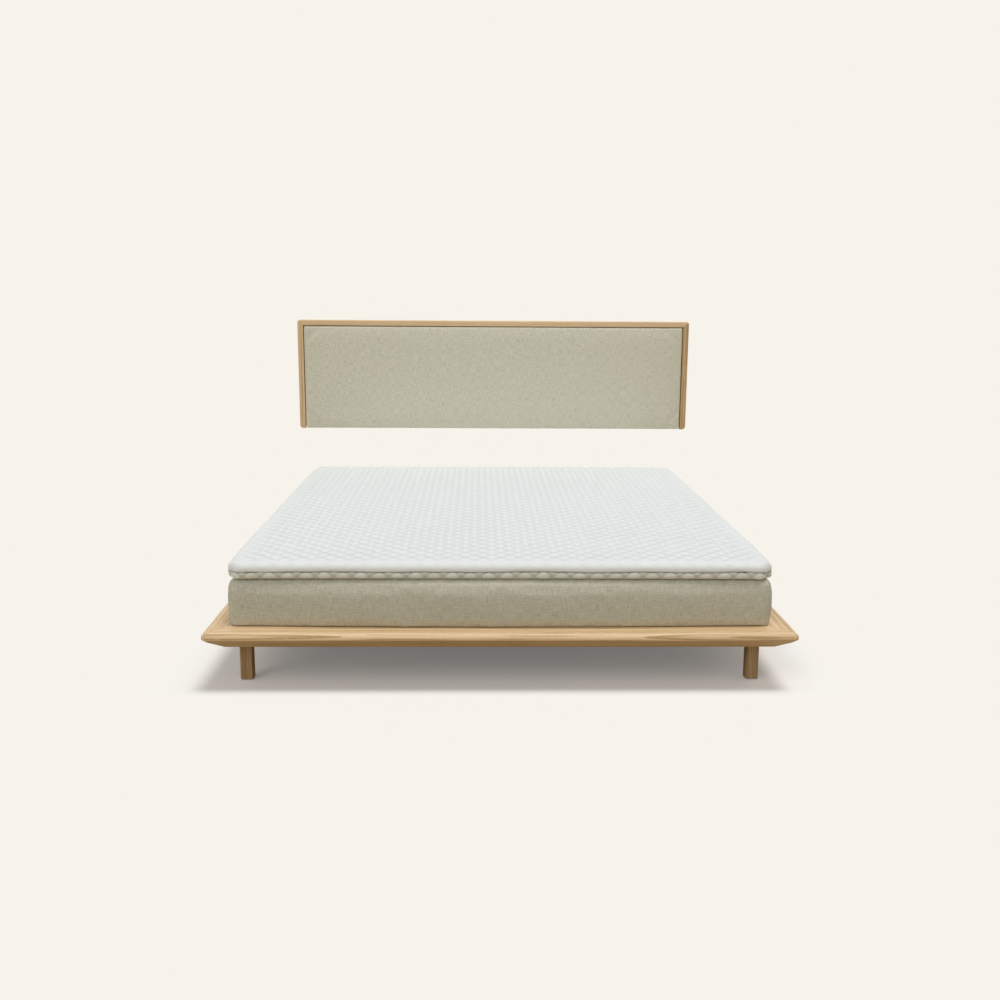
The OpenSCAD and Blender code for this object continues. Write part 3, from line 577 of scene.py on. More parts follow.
class Panel:
    """A flat grid with round corners, and the rim that runs round it."""

    def __init__(self, half_x, half_y, corner, step, roll=0.0, corner_steps=0):
        """Each corner square is pressed into a quarter disc: a sqrt(1 - b b / 2).

        The run round the rim is measured a roll's radius further out. A small corner
        gets its own steps, so that what is carried round it is still round.
        """
        self.half = np.array([half_x, half_y])
        lines = [self.line(half, corner, step, corner_steps) for half in self.half]
        self.counts = [len(line) - 1 for line in lines]
        self.u, self.v = np.meshgrid(*lines, indexing="ij")
        flat = self.half - corner
        a, b = [np.clip((abs(w) - f) / corner, 0, 1) for w, f in zip((self.u, self.v), flat)]
        self.x, self.y = [
            np.sign(w) * (np.minimum(abs(w), f) + corner * c * np.sqrt(1 - d * d / 2))
            for w, f, c, d in ((self.u, flat[0], a, b), (self.v, flat[1], b, a))]
        self.number = numbered(self.x.shape)
        self.rim = border(self.number)
        self.rim_points = np.stack([self.x, self.y], -1).reshape(-1, 2)[self.rim]
        core = np.clip(self.rim_points, -flat, flat)
        self.rim_normals = (self.rim_points - core) / corner
        outer = self.rim_points + self.rim_normals * roll
        self.rim_run = run_of(*closed(outer.T))

    def line(self, half, corner, step, corner_steps):
        """The grid's places along one axis, the same on both sides of the middle."""
        if not corner_steps:
            return np.linspace(-half, half, 2 * round(half / step) + 1)
        flat = half - corner
        middle = np.linspace(-flat, flat, 2 * round(flat / step) + 1)
        edge = flat + corner * np.linspace(0, 1, corner_steps + 1)[1:]
        return np.concatenate([-edge[::-1], middle, edge])

    def inside(self, beyond):
        """How far each point of the grid lies inside an edge that is beyond the panel's."""
        x, y = self.half + beyond
        return np.minimum(x - abs(self.x), y - abs(self.y))

    def shell(self, name, body, material, heights, profile, shape=None, places=None):
        """A closed form: the grid, a profile carried round its rim, and a point to shut it.

        heights belong to the grid's points, and profile is a list of (distance out from
        the rim, height). shape moves all points: it is given them, which of them are
        carried round, their normals and their run. places gives each point's place on
        its cloth, where it isn't the flat grid and the run round it.
        """
        outs, levels = np.array(profile).T
        grid = np.stack([self.x, self.y, heights], -1).reshape(-1, 3)
        rows = carry(self.rim_points, self.rim_normals, outs, levels)
        points = np.concatenate([grid, rows.reshape(-1, 3), [[0.0, 0.0, levels[-1]]]])
        ring = np.concatenate([self.rim[None], numbered(rows.shape, len(grid))])
        faces = [cells(self.number), cells(closed(ring)), fan(ring[-1], len(points) - 1)]
        if places is None:
            down = run_of([0.0, *outs], [levels[0], *levels])
            around = np.stack(np.meshgrid(self.rim_run, -down), -1)
            flat = np.stack([self.u, self.v], -1)
            uvs = [cells(flat), cells(around), points[faces[2]][..., :2]]
        else:
            uvs = [places[group] for group in faces]
        if shape:
            normals = np.tile(self.rim_normals, (len(outs), 1))
            run = np.tile(self.rim_run[:-1], len(outs))
            points = shape(points, slice(len(grid), -1), normals, run)
        return make_piece(name, body, material, points, faces, uvs)


class Loop:
    """A closed rounded rectangle in even steps, that a profile is carried round."""

    def __init__(self, half_x, half_y, corner, step):
        """Four quarter circles joined by straight sides, stepped evenly along their run."""
        turn = np.radians(np.linspace(0, 90, 25)[None] + 90 * np.arange(4)[:, None])
        sides = np.array([[1, 1], [-1, 1], [-1, -1], [1, -1]])[:, None]
        normals = np.stack([np.cos(turn), np.sin(turn)], -1)
        line = sides * (np.array([half_x, half_y]) - corner) + corner * normals
        line, normals = [np.concatenate([a.reshape(-1, 2), a[0, :1]]) for a in (line, normals)]
        run = run_of(*line.T)
        self.total = run[-1]
        count = 4 * round(self.total / step / 4)
        self.run = np.arange(count) * self.total / count
        self.points, self.normals = [
            np.stack([np.interp(self.run, run, a[:, i]) for i in range(2)], -1)
            for a in (line, normals)]
        self.normals /= np.hypot(*self.normals.T)[:, None]

    def skin(self, outs, levels, pitch=None, start=0.0):
        """Faces that look outwards where the profile climbs, and the grid's cloth places.

        u is the run round the loop, stretched so that a whole number of pitches fits,
        and v the run along the profile, counted from start.
        """
        stretch = round(self.total / pitch) * pitch / self.total if pitch else 1.0
        place = np.stack(np.meshgrid(
            np.append(self.run, self.total) * stretch, run_of(outs, levels) - start), -1)
        return cells(closed(numbered((len(outs), len(self.run)))), True), place


def swell(piece, held, pressure, cap, spare):
    """Lets Blender's cloth fill a cover from inside, and keeps where its points end.

    held is true where the cover is sewn down, and spare how much bigger its cloth is
    than its shape. A point that moved by m in 20 frames is kept at cap tanh(m / cap).
    """
    frames = 20
    scene, mesh = bpy.context.scene, piece.data
    group = piece.vertex_groups.new(name="held")
    group.add(np.flatnonzero(held).tolist(), 1.0, "REPLACE")
    cloth = piece.modifiers.new("cloth", "CLOTH")
    settings = cloth.settings
    settings.vertex_group_mass = group.name
    settings.use_pressure = True
    settings.uniform_pressure_force = pressure
    settings.effector_weights.gravity = 0.0
    settings.shrink_min = -spare
    settings.quality = 3
    cloth.collision_settings.use_collision = False
    cloth.point_cache.frame_end = frames
    for number in range(frames):
        scene.frame_set(number + 1)
    filled = piece.evaluated_get(bpy.context.evaluated_depsgraph_get()).data
    before, after = [np.empty(len(mesh.vertices) * 3) for _ in range(2)]
    mesh.vertices.foreach_get("co", before)
    filled.vertices.foreach_get("co", after)
    piece.modifiers.remove(cloth)
    piece.vertex_groups.remove(group)
    scene.frame_set(1)
    way = (after - before).reshape(-1, 3)
    far = np.maximum(np.linalg.norm(way, axis=1), 1e-9)[:, None]
    moved = before.reshape(-1, 3) + way / far * cap * np.tanh(far / cap)
    mesh.vertices.foreach_set("co", moved.ravel())
    mesh.update()


# Operators: the stage


class BED_OT_stage(bpy.types.Operator):
    """Set up the camera, the seamless floor and the soft overhead light"""

    bl_idname = "bed.stage"
    bl_label = "Stage"

    reach = 60.0
    fade_beside = (0.0, 0.24)
    fade_beyond = (-0.07, 0.03)
    fill = 0.15
    lamps = (
        ("overhead", 0.49, (0.16, -0.07, 1.0), 22),
        ("front_left", 0.130, (-0.85, -1.0, 0.90), 30),
        ("back_right", 0.03, (0.75, 0.80, 0.70), 30),
    )

    def execute(self, context):
        studio = context.scene.bed_studio
        self.add_camera(studio)
        self.add_floor(studio)
        self.add_light(studio)
        context.scene.view_settings.view_transform = "Standard"
        return {"FINISHED"}

    def place(self, name, data):
        """Puts an object in the scene."""
        made = bpy.data.objects.new(name, data)
        bpy.context.scene.collection.objects.link(made)
        return made

    def add_camera(self, studio):
        """The camera is tipped by roll, then raised and turned to look by pitch and yaw."""
        data = bpy.data.cameras.new("camera")
        data.lens = studio.lens
        data.sensor_width = SENSOR_WIDTH
        matrix = Matrix.Translation(studio.place)
        for turn, axis in ((-studio.yaw, "Z"), (math.pi / 2 - studio.pitch, "X"),
                           (studio.roll, "Z")):
            matrix = matrix @ Matrix.Rotation(turn, 4, axis)
        camera = self.place("camera", data)
        camera.matrix_world = matrix
        bpy.context.scene.camera = camera

    def add_floor(self, studio):
        """A wide matt plane; away from the bed, where no shadow falls, it shows its own colour.

        The lit plane fades into its plain colour with the distance outside the platform:
        slowly beside it, by |x| - half width, and quickly before and behind it, by
        |y| - half length. It sends back less light than it shows.
        """
        mesh = bpy.data.meshes.new("floor")
        mesh.from_pydata([(x * self.reach, y * self.reach, 0) for x, y in (
            (-1, -1), (1, -1), (1, 1), (-1, 1))], [], [(0, 1, 2, 3)])
        recipe = Recipe("floor")
        place = x, y, _ = recipe.place()
        beside = abs(x) - node_box("rail_right")[1, 0]
        beyond = abs(y) - node_box("rail_head")[1, 1]
        away = beside.ramp(*self.fade_beside).most(beyond.ramp(*self.fade_beyond))
        dust = recipe.noise(place, scale=900.0)
        paint = recipe.mix((dust - 0.5) * 0.02, studio.ground, WHITE)
        seen = recipe.node("ShaderNodeLightPath")
        paint = recipe.mix(seen, studio.bounce, paint)
        lit = recipe.node("ShaderNodeBsdfPrincipled", None, {
            "Base Color": paint, "Roughness": 1.0, "Specular IOR Level": 0.0})
        plain = recipe.node("ShaderNodeEmission", None, {
            "Color": recipe.mix(away, studio.shade, studio.ground)})
        # Even in the shadow under the bed a fill share of the floor glows in the shade colour:
        # painted light that lifts the shadow.
        bare = away * (1 - self.fill) + self.fill
        shown = recipe.node("ShaderNodeMixShader", None, {0: bare * seen, 1: lit, 2: plain})
        recipe.node("ShaderNodeOutputMaterial", None, {"Surface": shown})
        mesh.materials.append(recipe.made)
        self.place("floor", mesh)

    def add_light(self, studio):
        """An even sky and three wide suns that together light the floor to level 1."""
        recipe = Recipe("studio", "worlds")
        seen, glossy, through = [
            recipe.node("ShaderNodeLightPath", output=f"Is {ray} Ray")
            for ray in ("Camera", "Glossy", "Transmission")]
        lamp, shown = [
            recipe.node("ShaderNodeBackground", None, {"Color": opaque(c), "Strength": level})
            for c, level in ((WHITE, studio.sky), (studio.ground, 1.0))]
        both = recipe.node("ShaderNodeMixShader", None, {
            0: seen.most(glossy).most(through), 1: lamp, 2: shown})
        recipe.node("ShaderNodeOutputWorld", None, {"Surface": both})
        bpy.context.scene.world = recipe.made
        total = sum(lamp[1] for lamp in self.lamps)
        for name, level, towards, width in self.lamps:
            sun = bpy.data.lights.new(name, "SUN")
            sun.angle = math.radians(width)
            direction = Vector(towards).normalized()
            sun.energy = math.pi * (1 - studio.sky) * level / total / direction.z
            turn = direction.to_track_quat("Z", "Y").to_euler()
            self.place(name, sun).rotation_euler = turn


# Operators: the wood and the fittings


class BED_OT_platform_wood(bpy.types.Operator):
    """Finish the rails and the legs in oak, with the grain along each of them"""

    bl_idname = "bed.platform_wood"
    bl_label = "Platform"

    def execute(self, context):
        oak = context.scene.bed_oak
        joints = node_box("rail_right")[1, 0], node_box("rail_head")[1, 1]
        for nodes, along, tone_and_shade in (
                (["rail_foot", "rail_head"], 0, 0.0), (["rail_left", "rail_right"], 1, -0.16)):
            dress(nodes, oak_material("oak_" + nodes[0], along, oak, tone_and_shade, joints))
        legs = [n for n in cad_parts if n.startswith("leg_")]
        # The legs' oak is made darker, tone -0.40 and level 0.78: painted shade for the shade
        # under the platform.
        dress(legs, oak_material("oak_legs", 2, oak, -0.40, level=0.78))
        dress(["mitre_dowels"], softwood_material("dowel_beech", 0, context.scene.bed_softwood))
        return {"FINISHED"}


class BED_OT_slat_deck(bpy.types.Operator):
    """Finish the slats and their beam in softwood"""

    bl_idname = "bed.slat_deck"
    bl_label = "Slats and beam"

    def execute(self, context):
        softwood = context.scene.bed_softwood
        for number, node in enumerate(SLATS):
            pith = (0.30 + 0.21 * math.sin(number * 1.9), 0.10 + 0.07 * math.cos(number * 2.7))
            dress([node], softwood_material("pine_" + node, 0, softwood, pith))
        dress(["slat_beam"], softwood_material("pine_beam", 1, softwood))
        return {"FINISHED"}


class BED_OT_fittings(bpy.types.Operator):
    """Finish the steel, brass and felt fittings"""

    bl_idname = "bed.fittings"
    bl_label = "Fittings"

    def execute(self, context):
        steel = metal_material("zinc_steel", shade(176, 178, 180), 60.0)
        steel_nodes = [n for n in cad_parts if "bracket" in n or "hanger" in n]
        dress(steel_nodes + ["leg_bolts", "cleat_screws"], steel)
        dress(["zip_slider"], metal_material("slider_metal", shade(120, 122, 124), 300.0, 0.3))
        dress(["leg_inserts"], metal_material("insert_brass", shade(206, 170, 92), 90.0))
        dress(["felt_glides"], fuzzy_material(
            "grey_felt", shade(92, 88, 84), shade(58, 55, 52), 2600.0))
        return {"FINISHED"}


class BED_OT_webbing(bpy.types.Operator):
    """Lay the two straps over the slats, sagging between them, and staple them down"""

    bl_idname = "bed.webbing"
    bl_label = "Webbing"

    sag = 0.0028
    edge = 0.0008
    staple = np.array([0.0052, 0.0006, 0.0004])
    staple_x = np.array([-0.008, 0.008])

    def execute(self, context):
        material = strap_material("strap_weave", shade(232, 226, 206), shade(176, 168, 146))
        middles = np.array([node_box(slat).sum(0)[1] / 2 for slat in SLATS])
        half_slat = np.ptp(node_box(SLATS[0])[:, 1]) / 2
        for side in ("left", "right"):
            box = node_box("webbing_" + side)
            self.add_strap(side, *box, middles, half_slat, material)
            self.add_staples(side, *box, middles)
        return {"FINISHED"}

    def add_strap(self, side, low, high, middles, half_slat, material):
        """Height along the strap: flat on each slat, and a shallow arc over each gap."""
        y, x = np.linspace(low[1], high[1], 437), np.linspace(low[0], high[0], 9)
        off = np.abs(y[:, None] - middles[None]).min(1)
        half_pitch = (middles[1] - middles[0]) / 2
        over_gap = np.clip((off - half_slat) / (half_pitch - half_slat), 0, 1)
        drop = (self.sag * over_gap * (2 - over_gap))[:, None]
        inside = (high[0] - low[0]) / 2 - np.abs(x - (low[0] + high[0]) / 2)
        edge = (1 - np.clip(inside, 0, self.edge) / self.edge)[None]
        yy, xx = np.meshgrid(y, x, indexing="ij")
        upper = np.stack([xx, yy, high[2] - drop - 0.0004 * edge], -1)
        lower = np.stack([xx, yy, low[2] - drop + 0.0003 * edge], -1)
        ring = np.concatenate([upper, lower[:, ::-1]], 1)
        number = numbered(ring.shape)
        ends = np.stack([number[0, ::-1], number[-1]])
        across = np.concatenate([x, x[::-1], x[:1]])
        place = np.stack(np.meshgrid(y, across, indexing="ij")[::-1], -1)
        piece = make_piece(
            "strap_" + side, "slat_deck", material, ring.reshape(-1, 3),
            [cells(closed(number), True), ends],
            [cells(place, True), np.zeros((2, ring.shape[1], 2))])
        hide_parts("webbing_" + side)

    def add_staples(self, side, low, high, middles):
        """Two crowns of wire across the strap on every slat."""
        x = (low[0] + high[0]) / 2 + self.staple_x
        centres = np.array([[a, b, high[2] + 0.0001] for b in middles for a in x])
        points, faces = box_blocks(centres, self.staple)
        make_piece("staples_" + side, "slat_deck", bpy.data.materials["zinc_steel"],
                   points, [faces])


# Operators: the mattress


class BED_OT_mattress(bpy.types.Operator):
    """Upholster the mattress: bulging sides, rolled edges and folds at the corners"""

    bl_idname = "bed.mattress"
    bl_label = "Mattress"

    step = 0.0100
    bulge_side, bulge_foot, bulge_head = 0.018, 0.018, 0.009
    crown = 0.006
    corner, corner_steps = 0.024, 8
    top_r = 0.022
    bottom_r = 0.011
    hem = 0.030
    hang = 0.0034
    dip = 0.0004
    long_wave, short_wave = 0.30, 0.085
    folds = 3
    fold_pitch = 0.016
    fold_width, ridge_width = 0.0065, 0.010
    fold_reach = 0.035, 0.085

    def execute(self, context):
        self.cloth = context.scene.bed_cloth
        low, high = node_box("mattress_cover")
        self.low, self.high = low[2], high[2]
        self.half = np.array([high[0] - self.bulge_side, -low[1] - self.bulge_foot]) - self.crown
        roll, lower = self.top_r, self.bottom_r
        self.panel = panel = Panel(
            *(self.half - roll), self.corner - roll, self.step, roll, self.corner_steps)
        side_top, side_low = self.high - roll, self.low + lower
        profile = arc((0, side_top), roll, 90, 0, 7)[1:]
        for down in np.linspace(0, 1, 15)[1:-1]:
            out = 0.6 * self.crown * math.sin(math.pi * down ** 0.85) ** 0.8
            profile.append((roll + out, side_top + (side_low - side_top) * down))
        profile += arc((roll - lower, side_low), lower, 0, -90, 4)
        profile += [(roll - self.hem, self.low), (roll - self.hem - 0.0005, self.low + 0.0010)]
        crowned = smooth(panel.inside(roll), 0, 0.25)
        heights = self.high - 0.0006 * (1 - crowned)
        heights += self.dip * (ripple(panel.x, panel.y, 0.22, 5) - 1) * crowned
        # The mattress's copy of the cloth is darker than the headboard's, level 1.07 against
        # 1.38: painted shade.
        piece = panel.shell("mattress_upholstery", "mattress",
                            woven_cloth_material("mattress_cloth", self.cloth, 1.07), heights,
                            profile, self.shape)
        held = np.ones(len(piece.data.vertices), bool)
        held[panel.x.size:-4 * len(panel.rim) - 1] = False
        swell(piece, held, pressure=1.5, cap=0.004, spare=0.012)
        stand_for(piece, "mattress_cover")
        return {"FINISHED"}

    def shape(self, points, band, normals, run):
        """Bows the sides by 1 - s s, s from -1 to 1 along each; waves the cloth and folds it."""
        low, high, half = self.low, self.high, self.half
        x, y, z = points.T
        bow_x, bow_y = [
            1 - np.minimum(abs(a) / h, 1) ** 2 for a, h in ((y, half[1]), (x, half[0]))]
        full = 1 - 0.2 * smooth(z, high - self.top_r, high)
        end = np.where(y < 0, self.bulge_foot, self.bulge_head)
        moved = points.copy()
        moved[:, 0] = x * (1 + self.bulge_side / half[0] * bow_x * full)
        moved[:, 1] = y * (1 + end / half[1] * bow_y * full)
        level = z[band]
        fade = smooth(level, low, low + 0.012) * smooth(high - level, 0.0, 0.02)
        moved[band, :2] += normals * (self.relief(run, level) * fade)[:, None]
        drop = self.hang * (1 - smooth(level, low + 0.004, low + 0.030))
        drop[-len(self.panel.rim):] = 0
        moved[band, 2] -= drop
        return moved

    def relief(self, run, level):
        """Slow waves of the cloth, and at each corner short folds that slant to it.

        A fold is a groove exp(-(d / width)^2) with a softer ridge beside it, where d is
        the distance from a slanting line; it ends at its reach below the edge.
        """
        cloth, panel = self.cloth, self.panel
        middle, half_height = (self.low + self.high) / 2, (self.high - self.low) / 2
        body = 1 - ((level - middle) / half_height) ** 2
        relief = cloth.slack * ripple(run, level * 2.2, self.long_wave, 11)
        relief *= 0.35 + 0.65 * body
        relief += cloth.slack * 0.45 * ripple(run, level, self.short_wave, 12) * body
        total = panel.rim_run[-1]
        nx, ny = panel.counts
        corners = panel.rim_run[[0, nx, nx + ny, 2 * nx + ny]]
        down = self.high - self.top_r * 0.5 - level
        random = np.random.default_rng(3)
        for corner, side, number in product(corners, (-1, 1), range(self.folds)):
            start = corner + side * (0.012 + self.fold_pitch * number)
            slant = side * (0.25 + 0.35 * number + random.uniform(-0.1, 0.1))
            reach = random.uniform(*self.fold_reach)
            deep = cloth.fold * random.uniform(0.35, 1.0) / (1 + 0.5 * number)
            off = (run - start + total / 2) % total - total / 2 - slant * down
            groove = np.exp(-(off / self.fold_width) ** 2)
            ridge = 0.6 * np.exp(-((off - side * 0.012) / self.ridge_width) ** 2)
            ends = smooth(down, -0.01, 0.006) * (1 - smooth(down, reach * 0.4, reach))
            relief -= deep * (groove - ridge) * ends
        return relief


def foam_block(node, name, body, material, corner, drop, crown):
    """A foam slab with softened edges in the node's own box, its top lowered by drop.

    crown is how much lower its top lies at the edges than in the middle.
    """
    low, high = node_box(node)
    roll = 0.006
    panel = Panel(high[0] - roll, high[1] - roll, corner, 0.06)
    top = high[2] - drop
    heights = top - crown * (1 - smooth(panel.inside(roll), 0, 0.3))
    profile = arc((0, top - crown - roll), roll, 90, 0, 4)[1:]
    profile += arc((0, low[2] + roll), roll, 0, -90, 4)
    stand_for(panel.shell(name, body, material, heights, profile), node)


class BED_OT_mattress_inside(bpy.types.Operator):
    """Fill the mattress: dust cloth, timber frame, pocket springs and comfort foam"""

    bl_idname = "bed.mattress_inside"
    bl_label = "Inside the mattress"

    sheet = 0.0003

    def execute(self, context):
        foam = fuzzy_material("cream_foam", shade(240, 232, 204), shade(220, 208, 172), 1400.0)
        spring = fuzzy_material(
            "spring_fleece", shade(226, 228, 228), shade(196, 200, 202), 900.0)
        dress(["mattress_base_frame"], softwood_material(
            "pine_mattress_frame", 1, context.scene.bed_softwood))
        for name, slot, material in (
                ("comfort_foam", "foam", foam), ("spring_unit", "spring_pockets", spring)):
            foam_block("mattress_" + name, name, "mattress", material,
                       corner=0.012, drop=0, crown=0.0008)
        self.add_dust_cloth()
        return {"FINISHED"}

    def add_dust_cloth(self):
        """A black nonwoven sheet under the mattress, slack between its staples."""
        low, high = node_box("mattress_dust_cloth")
        nonwoven = fuzzy_material(
            "dust_nonwoven", shade(52, 52, 54), shade(30, 30, 32), 1800.0, depth=0.0001)
        x, y = np.meshgrid(np.linspace(low[0], high[0], 121),
                           np.linspace(low[1], high[1], 135), indexing="ij")
        inside = np.minimum(high[0] - abs(x), high[1] - abs(y))
        slack = np.clip(0.5 + 0.5 * ripple(x, y, 0.35, 21), 0, 1)
        z = low[2] + 0.0001 + 0.0006 * slack * smooth(inside, 0, 0.05)
        lower = np.stack([x, y, z], -1).reshape(-1, 3)
        number = numbered(x.shape)
        up, rim = cells(number), border(number)
        ahead = np.roll(rim, -1)
        sides = np.stack([rim, ahead, ahead + x.size, rim + x.size], -1)
        piece = make_piece(
            "dust_cloth", "mattress", nonwoven,
            np.concatenate([lower, lower + [0, 0, self.sheet]]),
            [up[:, ::-1], up + x.size, sides])
        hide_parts("mattress_dust_cloth")


# Operators: the topper


def tilt(profile, sense, shown):
    """The outward direction across a profile's shown points, from its slope at each."""
    along = np.gradient(profile, axis=1)
    along /= np.hypot(*along)
    across = np.stack([along[1], -along[0]]) * sense
    across[:, shown:] = 0
    return across[..., None]


def settled(points, quilt, low, side):
    """The topper's points once it lies: its corners hang, and its zip line waves.

    The droop grows over the last 30 mm to the edge and the last 300 mm to the corner, but
    only the last 95 mm along the foot and head ends, so that the slider's way stays level.
    The wave is 0 at the bottom, full at the zip and fades again above it. Round the
    corners the side is creased by a sine across it.
    """
    rim, foot_way, side_way = 0.030, 0.095, 0.30
    wave_height, wave_length = 0.0013, 0.30
    crease_height, crease_pitch, crease_way = 0.0016, 0.026, 0.09
    half = node_box("topper_base_cover")[1, :2]
    x, y, z = abs(points[:, 0]), abs(points[:, 1]), points[:, 2]
    (near_x, along_x), (near_y, along_y) = [
        (smooth(a, edge - rim, edge + 0.002), smooth(a, edge - way, edge))
        for a, edge, way in ((x, half[0], foot_way), (y, half[1], side_way))]
    moved = points.copy()
    moved[:, 2] -= quilt.droop * np.maximum(near_x * along_y, near_y * along_x)
    wave = wave_height * ripple(points[:, 0], points[:, 1], wave_length, 33)
    moved[:, 2] += wave * smooth(z, low, side) * (1 - smooth(z, side + 0.006, side + 0.03))
    crease = np.sin((x - y - half[0] + half[1]) * (TURN / crease_pitch)) - 0.6
    for a, edge in ((x, half[0]), (y, half[1])):
        crease *= smooth(a, edge - crease_way, edge - 0.02)
    crease *= crease_height * smooth(z, low, low + 0.008)
    crease *= 1 - smooth(z, side + 0.012, side + 0.034)
    moved[:, :2] += np.sign(points[:, :2]) * crease[:, None]
    return moved


class BED_OT_topper(bpy.types.Operator):
    """Quilt the topper's two covers in diamonds and lay the foam core between them"""

    bl_idname = "bed.topper"
    bl_label = "Topper"

    steps = 8
    corner = 0.060
    top_r = 0.021
    bottom_r = 0.016
    roll = 0.0032
    wall = 0.022
    lid = 0.0045
    floor = 0.006
    under = 0.045
    dome = 0.0030
    top_full, border_full = 0.8, 0.26
    border_puff, border_sink = 0.0072, 0.0055
    border_step = 0.0045

    def execute(self, context):
        quilt = context.scene.bed_quilt
        low, high = node_box("topper_base_cover")
        self.half = high[:2]
        self.low, self.high = low[2], node_box("topper_top_cover")[1, 2]
        self.zip = node_box("topper_zip")[:, 2]
        self.add_top(quilt, knit_material("quilt_top", quilt, quilt.top))
        self.add_base(quilt, knit_material("quilt_border", quilt, quilt.border))
        foam_block("topper_core", "topper_foam", "topper",
                   bpy.data.materials["cream_foam"], corner=0.024, drop=0.003, crown=0)
        return {"FINISHED"}

    def add_top(self, quilt, material):
        """A quilted field, a round edge, the plain front and a small roll down to the zip.

        The cloth is unrolled flat over the edge, so that the diamonds run on down the
        side; they grow calmer towards the edge, where the cover is stretched.
        """
        edge, side = self.top_r, self.zip[1]
        step = quilt.pitch / self.steps
        panel = Panel(*(self.half - edge), self.corner - edge, step, edge)
        scale = step * np.array(panel.counts) / (2 * panel.half)
        inside = panel.inside(edge)
        calm = 0.35 + 0.65 * smooth(inside, 0.02, 0.11)
        field = np.stack([panel.u, panel.v], -1) * scale
        surface = self.high - quilt.puff - 0.0005
        rim_z = surface - self.dome
        heights = surface + quilt.puff * calm * diamonds(
            field[..., 0], field[..., 1], quilt.pitch, self.top_full)
        heights += self.dome * (smooth(inside, edge * 0.8, 0.30) - 1)
        heights += 0.0012 * ripple(panel.x, panel.y, 0.45, 31) * smooth(inside, 0.02, 0.2)
        profile = arc((0, rim_z - edge), edge, 80, 0, 8)
        profile += [(edge, z) for z in np.linspace(rim_z - edge, side + self.roll, 4)[1:-1]]
        profile += arc((edge - self.roll, side + self.roll), self.roll, 0, -84, 5)
        shown = len(profile)
        profile += [(edge - self.wall, side + 0.0004), (edge - self.wall, surface - self.lid)]
        outs, levels = np.array(profile).T
        tilt_out, tilt_up = tilt([outs, levels], -1, shown)
        down = run_of([0, *outs], [rim_z, *levels])[1:]
        place = (panel.rim_points + panel.rim_normals * down[:, None, None]) * scale
        push = quilt.puff * 0.35 * diamonds(place[..., 0], place[..., 1], quilt.pitch)
        push *= (1 - smooth(down, 0.012, 0.050))[:, None]
        places = np.concatenate([field.reshape(-1, 2), place.reshape(-1, 2), [[0, 0]]])

        def shape(points, band, normals, run):
            points[band, :2] += normals * (push * tilt_out).ravel()[:, None]
            points[band, 2] += (push * tilt_up).ravel()
            sag = 0.0011 + 0.0013 * ripple(points[:, 0], points[:, 1], 0.14, 35)
            points[:, 2] -= sag * (1 - smooth(points[:, 2], side, side + 0.012))
            return settled(points, quilt, self.low, side)

        piece = panel.shell("topper_quilted_top", "topper", material, heights,
                            profile, shape, places)
        sewn = np.zeros(len(piece.data.vertices))
        sewn[:inside.size] = smooth(inside, 0.010, 0.090).ravel()
        mark_sewn(piece, sewn)
        stand_for(piece, "topper_top_cover")

    def add_base(self, quilt, material):
        """A round lower edge, the quilted side and a small roll into the zip's groove.

        The diamonds are centred on the round edge, 62 degrees up it.
        """
        loop = Loop(*self.half, self.corner, self.border_step)
        side, low, edge = self.zip[0], self.low, self.bottom_r
        profile = [(-self.under, low)] + arc((-edge, low + edge), edge, -90, 0, 9)
        profile += arc((-self.roll, side - self.roll), self.roll, 0, 84, 5)
        shown = len(profile)
        profile += [(-self.wall, side - 0.0004), (-self.wall, low + self.floor)]
        outs, levels = np.array(profile).T
        tilt_out, tilt_up = tilt([outs, levels], 1, shown)
        start = self.under - edge + edge * math.radians(62)
        quads, place = loop.skin(outs, levels, quilt.pitch, start)
        push = self.border_puff * diamonds(
            place[:, :-1, 0], place[:, :-1, 1], quilt.pitch, self.border_full)
        push = (push - self.border_sink) * smooth(levels, low - 0.001, low + 0.006)[:, None]
        points = carry(loop.points, loop.normals, outs, levels)
        points[..., :2] += loop.normals * (push * tilt_out)[..., None]
        points[..., 2] = np.maximum(points[..., 2] + push * tilt_up, low)
        points = np.concatenate([points.reshape(-1, 3), [[0, 0, low], [0, 0, low + self.floor]]])
        count, first = len(points), np.arange(len(loop.run))
        last = first + count - 2 - len(first)
        caps = [fan(first, count - 2), fan(last, count - 1)[:, ::-1]]
        piece = make_piece(
            "topper_quilted_base", "topper", material,
            settled(points, quilt, low, side), [quads, *caps],
            [cells(place, True), *[points[cap][..., :2] for cap in caps]])
        mark_sewn(piece, np.ones(count))
        stand_for(piece, "topper_base_cover")


